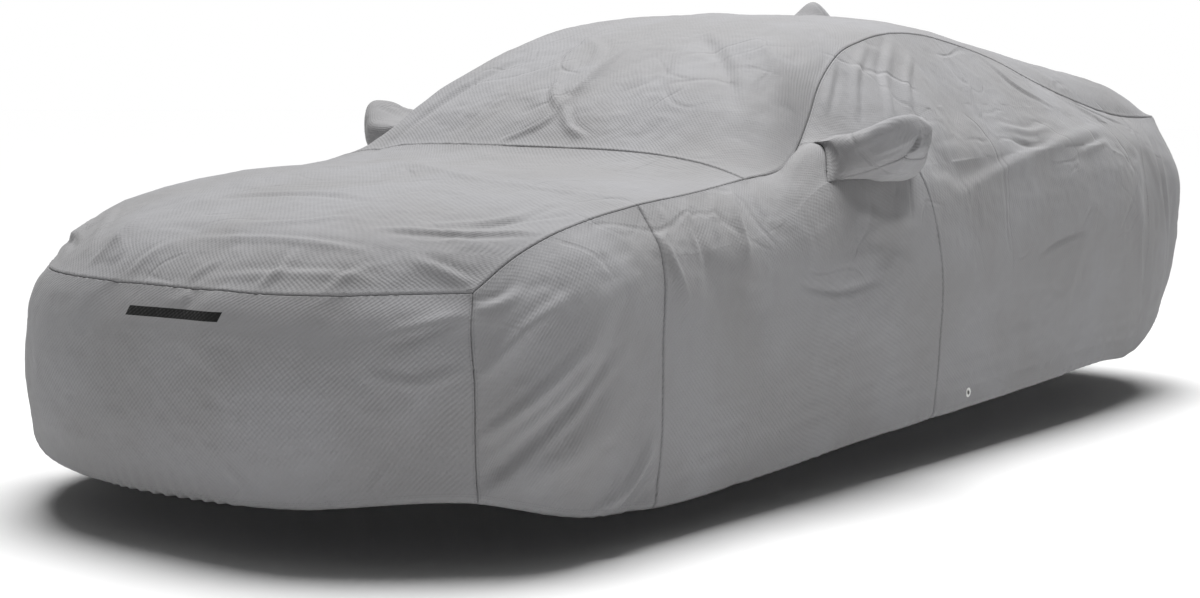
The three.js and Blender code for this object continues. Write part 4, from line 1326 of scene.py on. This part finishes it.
@dataclass
class Settling:
    """Lets the cloth between the seams settle: it is a little larger than its form, so it buckles."""

    cell: float = 0.026
    pocket_cell: float = 0.011
    spare: float = 0.05                       # how much longer the slackest cloth is than its form
    frames: int = 22
    hold: float = 0.12                        # how firmly it keeps to its form, from 0 to 1
    hem_hold: float = 0.4
    tension: float = 40.0
    bending: float = 0.3
    cap: float = 0.028                        # the furthest that it may move
    mass: float = 0.05
    gravity: float = 0.04                     # the share of its weight that pulls on it
    quality: int = 5
    end_slack: float = 0.75                   # how slack the fenders and the rear are, from 0 to 1
    top_slack: tuple[float, float] = (0.5, 0.5)          # on the hood and roof, and what the windscreen adds
    side_slack: tuple[float, float] = (0.18, 0.7)        # at the hem, and what is added above
    windscreen: tuple[float, float] = (-0.9, 0.3)        # where it starts and ends, along the car
    upper: float = 0.72                       # the height where the sides get slacker

    @staticmethod
    def picked(points: np.ndarray, cell: float) -> np.ndarray:
        """Which of a line of points to keep, so that they are about a cell apart, the ends among them."""
        run = np.append(0, np.cumsum(np.linalg.norm(np.diff(points, axis=0), axis=-1)))
        wanted = np.linspace(0, run[-1], max(round(run[-1] / cell), 3) + 1)
        return np.unique(np.abs(run[:, None] - wanted).argmin(axis=0))

    def spare_at(self, sheet: Sheet) -> np.ndarray:
        """How slack a sheet's cloth is, from 0 to 1: most on the mirror pockets and the windscreen."""
        y, z = sheet.points[..., 1] + ROOF_POINT_Y, sheet.points[..., 2] + GROUND
        if "mirror" in sheet.name:
            return np.ones_like(z)
        if "fender" in sheet.name or "rear" in sheet.name:
            return np.full_like(z, self.end_slack)
        if sheet.name in ("hood_panel", "roof_panel"):
            begun = ease((y - self.windscreen[0]) / 0.2)
            ended = ease((y - self.windscreen[1]) / 0.5)
            return self.top_slack[0] + self.top_slack[1] * begun * (1 - ended)
        return self.side_slack[0] + self.side_slack[1] * ease((z - self.upper) / 0.3)

    def run(self, sheets: Sequence[Sheet]) -> None:
        """Settles the sheets by simulation, each held along its seams.

        Args:
            sheets: The sheets, whose points move.
        """
        grids, vertices, faces, holds, spares = [], [], [], [], []
        count = 0
        for sheet in sheets:
            cell = self.pocket_cell if "mirror" in sheet.name or "aerial" in sheet.name else self.cell
            middle = sheet.points.shape[0] // 2, sheet.points.shape[1] // 2
            rows = self.picked(sheet.points[:, middle[1]], cell)
            columns = self.picked(sheet.points[middle[0]], cell)
            pick = np.ix_(rows, columns)
            ids = count + np.arange(len(rows) * len(columns)).reshape(len(rows), len(columns))
            loops = np.stack([ids[:-1, :-1], ids[1:, :-1], ids[1:, 1:], ids[:-1, 1:]], axis=-1)
            corners = sheet.used()[pick]
            loops = loops[corners[:-1, :-1] & corners[1:, :-1] & corners[1:, 1:] & corners[:-1, 1:]]
            hold = np.where(sheet.hem.gap[pick] < cell, self.hem_hold, self.hold)
            fixed = sheet.seam.gap[pick] < cell / 3
            grids.append((rows, columns, count))
            vertices.append(sheet.points[pick].reshape(-1, 3))
            faces.append(loops.reshape(-1, 4))
            holds.append((corners * np.where(fixed, 1.0, hold)).ravel())
            spares.append(self.spare_at(sheet)[pick].ravel())
            count += ids.size
        start = np.concatenate(vertices)
        settled = self.simulated(
            start, np.concatenate(faces), np.concatenate(holds), np.concatenate(spares))
        moved = settled - start
        moved *= np.minimum(1, self.cap / np.maximum(np.linalg.norm(moved, axis=-1, keepdims=True), 1e-9))
        for sheet, (rows, columns, first) in zip(sheets, grids):
            coarse = moved[first:first + len(rows) * len(columns)].reshape(len(rows), len(columns), 3)
            sheet.points = sheet.points + self.finer(coarse, rows, columns, sheet.points.shape[:2])

    @staticmethod
    def finer(
        coarse: np.ndarray, rows: np.ndarray, columns: np.ndarray, shape: tuple[int, int],
    ) -> np.ndarray:
        """The same moves for every point of a sheet.

        Args:
            coarse: The moves of the points that were kept.
            rows: Their rows.
            columns: Their columns.
            shape: How many rows and columns the sheet has.

        Returns:
            A smooth surface of moves through them.
        """
        def along(values: np.ndarray, kept: np.ndarray, length: int) -> np.ndarray:
            """Cubic steps between the kept rows of some values."""
            slopes = np.gradient(values, axis=0)
            place = np.interp(np.arange(length), kept, np.arange(len(kept)))
            k = np.minimum(place.astype(int), len(kept) - 2)
            u = (place - k).reshape(-1, 1, 1)
            u2, u3 = u * u, u * u * u
            return (values[k] * (2 * u3 - 3 * u2 + 1) + slopes[k] * (u3 - 2 * u2 + u)
                    + values[k + 1] * (3 * u2 - 2 * u3) + slopes[k + 1] * (u3 - u2))

        full_rows = along(coarse, rows, shape[0])
        return np.swapaxes(along(np.swapaxes(full_rows, 0, 1), columns, shape[1]), 0, 1)

    def simulated(
        self, vertices: np.ndarray, faces: np.ndarray, holds: np.ndarray, spares: np.ndarray,
    ) -> np.ndarray:
        """Runs the cloth simulation.

        Args:
            vertices: Where the cloth starts.
            faces: Its cells.
            holds: How firmly each vertex is held, 1 where it is fixed.
            spares: How slack the cloth is at each vertex.

        Returns:
            Where the vertices come to.
        """
        _, first, home = np.unique(np.round(vertices, 4), axis=0, return_index=True, return_inverse=True)
        home = home.ravel()
        held = np.zeros(len(first))
        np.maximum.at(held, home, holds)
        held[held == 0] = 1
        loops = [list(dict.fromkeys(loop)) for loop in home[faces].tolist()]
        mesh = bpy.data.meshes.new("settling")
        mesh.from_pydata(vertices[first].tolist(), [], [loop for loop in loops if len(loop) > 2])
        cloth = bpy.data.objects.new("settling", mesh)
        bpy.context.scene.collection.objects.link(cloth)
        for name, weights in (("held", held), ("slack", spares[first])):
            group = cloth.vertex_groups.new(name=name)
            for index, weight in enumerate(weights.tolist()):
                group.add([index], weight, "REPLACE")
        bpy.ops.object.select_all(action="DESELECT")
        bpy.context.view_layer.objects.active = cloth
        cloth.select_set(True)
        modifier = cloth.modifiers.new("cloth", "CLOTH")
        settings = modifier.settings
        settings.quality = self.quality
        settings.mass = self.mass
        settings.tension_stiffness = settings.compression_stiffness = self.tension
        settings.shear_stiffness = self.tension / 3
        settings.bending_stiffness = self.bending
        settings.vertex_group_mass, settings.vertex_group_shrink = "held", "slack"
        settings.pin_stiffness = 1.0
        settings.shrink_min, settings.shrink_max = 0.0, -self.spare
        settings.effector_weights.gravity = self.gravity
        modifier.collision_settings.use_collision = False
        modifier.point_cache.frame_start, modifier.point_cache.frame_end = 1, self.frames
        for frame in range(1, self.frames + 1):
            bpy.context.scene.frame_set(frame)
        bpy.ops.object.modifier_apply(modifier=modifier.name)
        settled = np.empty(3 * len(first))
        cloth.data.vertices.foreach_get("co", settled)
        bpy.context.scene.frame_set(1)
        bpy.data.objects.remove(cloth)
        return vertices + (settled.reshape(-1, 3) - vertices[first])[home]


@dataclass
class WheelArch:
    """Where the cloth hangs flat over a wheel, inside the swell of the car's arch."""

    middle_y: float
    middle_z: float
    radius: float
    depth: float = 0.008
    soft: float = 0.075
    outside: float = 0.8                      # how far from the car's middle it begins

    def lift(self, points: np.ndarray) -> np.ndarray:
        """How far the cloth sinks in, below zero."""
        away = np.hypot(points[..., 1] - self.middle_y, points[..., 2] - self.middle_z)
        side = ease((np.abs(points[..., 0]) - self.outside) / 0.08)
        return -self.depth * side * (1 - ease((away - self.radius) / self.soft + 0.5))


@dataclass
class Eyelets:
    """The white eyelet near the hem on each side."""

    tube: float = 0.0045                      # half the width of its flange
    ring: float = 0.0115                      # radius of the middle of the flange
    flatness: float = 0.68
    lip: float = 0.0009                       # twice the depth of the groove around its face
    groove: float = 0.4                       # half the groove's width, as a share of the tube
    turns: int = 48
    sides: int = 16

    def build(self, side: str, outward: Vector, finish: bpy.types.Material) -> bpy.types.Object:
        """Makes one eyelet.

        Args:
            side: left or right.
            outward: The direction it faces.
            finish: Its plastic.

        Returns:
            The finished piece.
        """
        low, high = (Vector(corner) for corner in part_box(f"{side}_eyelet_ring"))
        bpy.ops.object.select_all(action="DESELECT")
        bpy.ops.mesh.primitive_torus_add(
            major_radius=self.ring, minor_radius=self.tube,
            major_segments=self.turns, minor_segments=self.sides,
        )
        piece = bpy.context.object
        piece.name = piece.data.name = f"{side}_eyelet"
        bpy.ops.object.mode_set(mode="EDIT")
        bpy.ops.transform.resize(value=(1, 1, self.flatness))
        bpy.ops.mesh.select_all(action="DESELECT")
        bpy.ops.object.mode_set(mode="OBJECT")
        for face in piece.data.polygons:
            radius = math.hypot(face.center.x, face.center.y)
            face.select = abs(radius - self.ring) < self.tube * self.groove and face.normal.z > 0
        bpy.ops.object.mode_set(mode="EDIT")
        bpy.ops.mesh.select_mode(type="FACE")
        bpy.ops.mesh.inset(thickness=self.lip / 2)
        bpy.ops.transform.translate(value=(0, 0, -self.lip / 2))
        bpy.ops.object.mode_set(mode="OBJECT")
        smooth = piece.modifiers.new("smooth", "SUBSURF")
        smooth.levels = smooth.render_levels = 1
        bpy.ops.object.modifier_apply(modifier=smooth.name)
        piece.data.transform(
            Matrix.Translation((low + high) / 2) @ outward.to_track_quat("Z", "Y").to_matrix().to_4x4())
        bpy.ops.object.shade_smooth()
        piece.data.materials.append(finish)
        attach(piece, "root")
        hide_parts(f"{side}_eyelet_ring")
        return piece


@dataclass
class Cover:
    """The whole cover: its sheets, the stitching that joins them, their folds and its eyelets."""

    step: float = 0.002                       # between the points of a line of stitching
    blend: float = 0.045                      # how far from a seam both sheets face the same way
    seeds: tuple[int, int, int] = (4, 11, 23)            # of the noise in the seams, the hem and the slack
    least_gathered: float = 0.22
    nose_gathers: tuple[float, float, float] = (0.5, -1.75, 0.55)    # how much more, up to where, fading
    tail_gathers: tuple[float, float, float] = (0.6, 1.7, 0.5)       # how much more, from where, fading
    half_wheelbase: float = 1.36
    hub_height: float = 0.34
    arch_radius: float = 0.40
    bar: PrintedBar = PrintedBar(left=-0.058, right=0.264, low=-0.8215, high=-0.7985, tilt=0.02)

    def chain(self, line: np.ndarray) -> np.ndarray:
        """The same line as close points."""
        run = np.append(0, np.cumsum(np.linalg.norm(np.diff(line, axis=0), axis=-1)))
        wanted = np.linspace(0, run[-1], max(int(run[-1] / self.step), 2))
        return np.stack([np.interp(wanted, run, line[:, k]) for k in range(3)], axis=-1)

    def stitching(self, pockets: MirrorPockets) -> tuple[StitchingMap, StitchingMap]:
        """Lays out all the seams and the hem.

        Args:
            pockets: The mirror pockets, which have seams of their own.

        Returns:
            The seams, and the hem.
        """
        ribs = np.linspace(0, 1, 600)
        levels = np.linspace(0, 1, 400)
        cowl = np.array([float(COWL)])
        front = skirt_line(2 * CORNER * ribs - CORNER, 0)
        rear = skirt_line(TAIL_CORNER + 2 * (TAIL - TAIL_CORNER) * ribs, 0)
        near_cowl = FORM.top(cowl, 1.1 * ribs - 0.1)[:, 0]
        far_cowl = FORM.top(cowl, 0.9 * ribs - 1)[:, 0]
        lines = [
            Stitching(self.chain(front), "hood", 1.6), Stitching(self.chain(rear), "roof", 0.7),
            Stitching(self.chain(near_cowl), "roof", 0.6), Stitching(self.chain(far_cowl), "roof", 0.3, 0.3),
        ]
        for sign in (1, -1):
            drops = [
                (CORNER, 0, HEM, "fender", 1.2), (FENDER, 0, HEM, "door", 1.0),
                (DOOR, 2, HEM, "quarter", 1.0), (REAR, 0, HEM, "quarter", 1.0),
                (POCKET_FRONT, 0, 1, "door", 0.8),
            ]
            main = skirt_line(sign * (CORNER + (TAIL_CORNER - CORNER) * ribs), 0)
            lines.append(Stitching(self.chain(main), "hood roof", 1.1))
            lines += [
                Stitching(self.chain(skirt_drop(sign * rib, start + (stop - start) * levels)), over, pucker)
                for rib, start, stop, over, pucker in drops
            ]
            lines += pockets.seams(sign)
        lines.append(self.aerial_seam())
        hem = Stitching(self.chain(skirt_line(2 * TAIL * ribs - TAIL, HEM)))
        return StitchingMap(lines), StitchingMap([hem])

    def aerial_seam(self) -> Stitching:
        """The seam around the aerial's pocket."""
        (start, stop), across = TopPanels.aerial_ribs, TopPanels.aerial_across
        corners = [(start, -across), (start, across), (stop, across), (stop, -across), (start, -across)]
        line = [
            FORM.top(np.array([rib]), np.array([place]))[0, 0]
            for here, there in zip(corners, corners[1:])
            for rib, place in np.linspace(here, there, 30)
        ]
        return Stitching(self.chain(np.array(line)), "aerial", 0.5)

    def gathered(self, points: np.ndarray) -> np.ndarray:
        """How strongly the elastic gathers the hem: much at the nose and the tail, little between."""
        y = points[..., 1] + ROOF_POINT_Y
        (nose, front, front_fade), (tail, rear, rear_fade) = self.nose_gathers, self.tail_gathers
        at_nose = nose * (1 - ease((y - front) / front_fade))
        return self.least_gathered + at_nose + tail * ease((y - rear) / rear_fade)

    def shape(self, sheets: Sequence[Sheet], seams: StitchingMap) -> None:
        """Gives the plain sheets their folds, seams and gathers.

        Args:
            sheets: The sheets, whose points move.
            seams: The seams.
        """
        relief = Relief()
        noises = [Ripple(seed) for seed in self.seeds]
        arches = [
            WheelArch(hub - ROOF_POINT_Y, self.hub_height - GROUND, self.arch_radius)
            for hub in (-self.half_wheelbase, self.half_wheelbase)
        ]
        for sheet in sheets:
            towards = seams.normal[sheet.seam.index]
            share = np.exp(-((sheet.seam.gap / self.blend) ** 2))[..., None]
            direction = unit(sheet.normals * (1 - share) + towards * share)
            flat = sheet.points.reshape(-1, 3)
            facing = direction.reshape(-1, 3)
            lift = np.zeros(len(flat))
            for fold in FOLDS:
                for path in fold.paths():
                    lift += fold.rise(path, flat, facing)
            lift = lift.reshape(sheet.points.shape[:2])
            lift += sum(arch.lift(sheet.points) for arch in arches)
            lift += relief.seams(sheet, seams, noises[0]) + relief.hem(sheet, noises[1], self.gathered)
            lift += relief.slackness(sheet, noises[2])
            sheet.points = sheet.points + direction * lift[..., None]

    def build(self) -> None:
        """Makes every piece of the cover."""
        pockets = MirrorPockets()
        sheets = [*SidePanels().build(), *TopPanels().build(), *pockets.build()]
        seams, hem = self.stitching(pockets)
        for sheet in sheets:
            sheet.locate(seams, hem)
        seams.gather_normals(sheets)
        self.shape(sheets, seams)
        Settling().run(sheets)
        cloth = CoverClothFinish()
        plain, printed = cloth.make("cover_cloth"), cloth.make("printed_cloth", self.bar)
        eyelet = EyeletPlasticFinish().make()
        for sheet in sheets:
            sheet.build(printed if sheet.name == "front_panel" else plain)
        for side, sign in SIDES:
            Eyelets().build(side, Vector((sign, 0, 0)), eyelet)


@dataclass
class Studio:
    """The floor, the lights and the camera."""

    floor_size: float = 120.0
    room_light: float = 0.12
    sun_place: tuple[float, float, float] = (-1.2, 1.5, 6.0)
    sun_power: float = 3.4
    sun_angle: float = 40.0                   # degrees; how soft its shadows are
    softbox_place: tuple[float, float, float] = (0.5, -0.1, 3.2)
    softbox_power: float = 104.0
    softbox_size: tuple[float, float] = (1.8, 5.0)
    place: tuple[float, float, float] = (3.845, -6.002, -0.2505)
    heading: float = 36.815                   # degrees from the cover's own axis
    dip: float = 5.939                        # degrees below level
    roll: float = 0.8
    lens: float = 61.33                       # millimetres
    sensor: float = 36.0

    def floor(self) -> None:
        """Lays the floor under the hem, where the car would stand."""
        bpy.ops.object.select_all(action="DESELECT")
        bpy.ops.mesh.primitive_plane_add(size=self.floor_size, location=(0, 0, -GROUND))
        floor = bpy.context.object
        floor.name = "studio_floor"
        floor.data.materials.append(FloorFinish().make())

    def lamp(
        self, name: str, kind: str, place: tuple[float, float, float], settings: dict[str, object],
    ) -> None:
        """Adds a light that points at the cover: a sun at its middle, a softbox straight down.

        Args:
            name: Its name.
            kind: Its type.
            place: Where it stands.
            settings: Its power and size.
        """
        light = bpy.data.lights.new(name, kind)
        for key, value in settings.items():
            setattr(light, key, value)
        lamp = bpy.data.objects.new(name, light)
        lamp.location = place
        if kind == "SUN":
            lamp.rotation_euler = (-Vector(place)).to_track_quat("-Z", "Y").to_euler()
        bpy.context.scene.collection.objects.link(lamp)

    def lights(self) -> None:
        """Hangs a soft sun and a long softbox overhead, in a room that is dim but looks white."""
        self.lamp("overhead", "SUN", self.sun_place, {
            "energy": self.sun_power, "angle": math.radians(self.sun_angle),
        })
        width, length = self.softbox_size
        self.lamp("softbox", "AREA", self.softbox_place, {
            "energy": self.softbox_power, "shape": "RECTANGLE", "size": width, "size_y": length,
        })
        world = bpy.data.worlds.new("room")
        world.use_nodes = True
        nodes, links = world.node_tree.nodes, world.node_tree.links
        background = nodes["Background"]
        background.inputs["Color"].default_value = (1, 1, 1, 1)
        seen = nodes.new("ShaderNodeLightPath")
        strength = nodes.new("ShaderNodeMapRange")
        strength.inputs["To Min"].default_value = self.room_light
        strength.inputs["To Max"].default_value = 1.0
        links.new(seen.outputs["Is Camera Ray"], strength.inputs["Value"])
        links.new(strength.outputs["Result"], background.inputs["Strength"])
        bpy.context.scene.world = world
        bpy.context.scene.view_settings.view_transform = "Standard"

    def camera(self) -> None:
        """Sets up the camera."""
        data = bpy.data.cameras.new("camera")
        data.lens, data.sensor_width = self.lens, self.sensor
        camera = bpy.data.objects.new("camera", data)
        turn = (
            Matrix.Rotation(math.radians(self.heading), 4, "Z")
            @ Matrix.Rotation(math.radians(90 - self.dip), 4, "X")
            @ Matrix.Rotation(math.radians(self.roll), 4, "Z")
        )
        camera.matrix_world = Matrix.Translation(self.place) @ turn
        bpy.context.scene.collection.objects.link(camera)
        bpy.context.scene.camera = camera

    def build(self) -> None:
        """Makes all of it."""
        self.floor()
        self.lights()
        self.camera()


def main() -> None:
    """Builds the cover around the frame, and the studio around it."""
    logging.basicConfig(level=logging.INFO, format="%(name)s: %(message)s", stream=sys.stdout)
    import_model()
    Cover().build()
    Studio().build()
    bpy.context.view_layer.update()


if __name__ == "__main__":
    main()
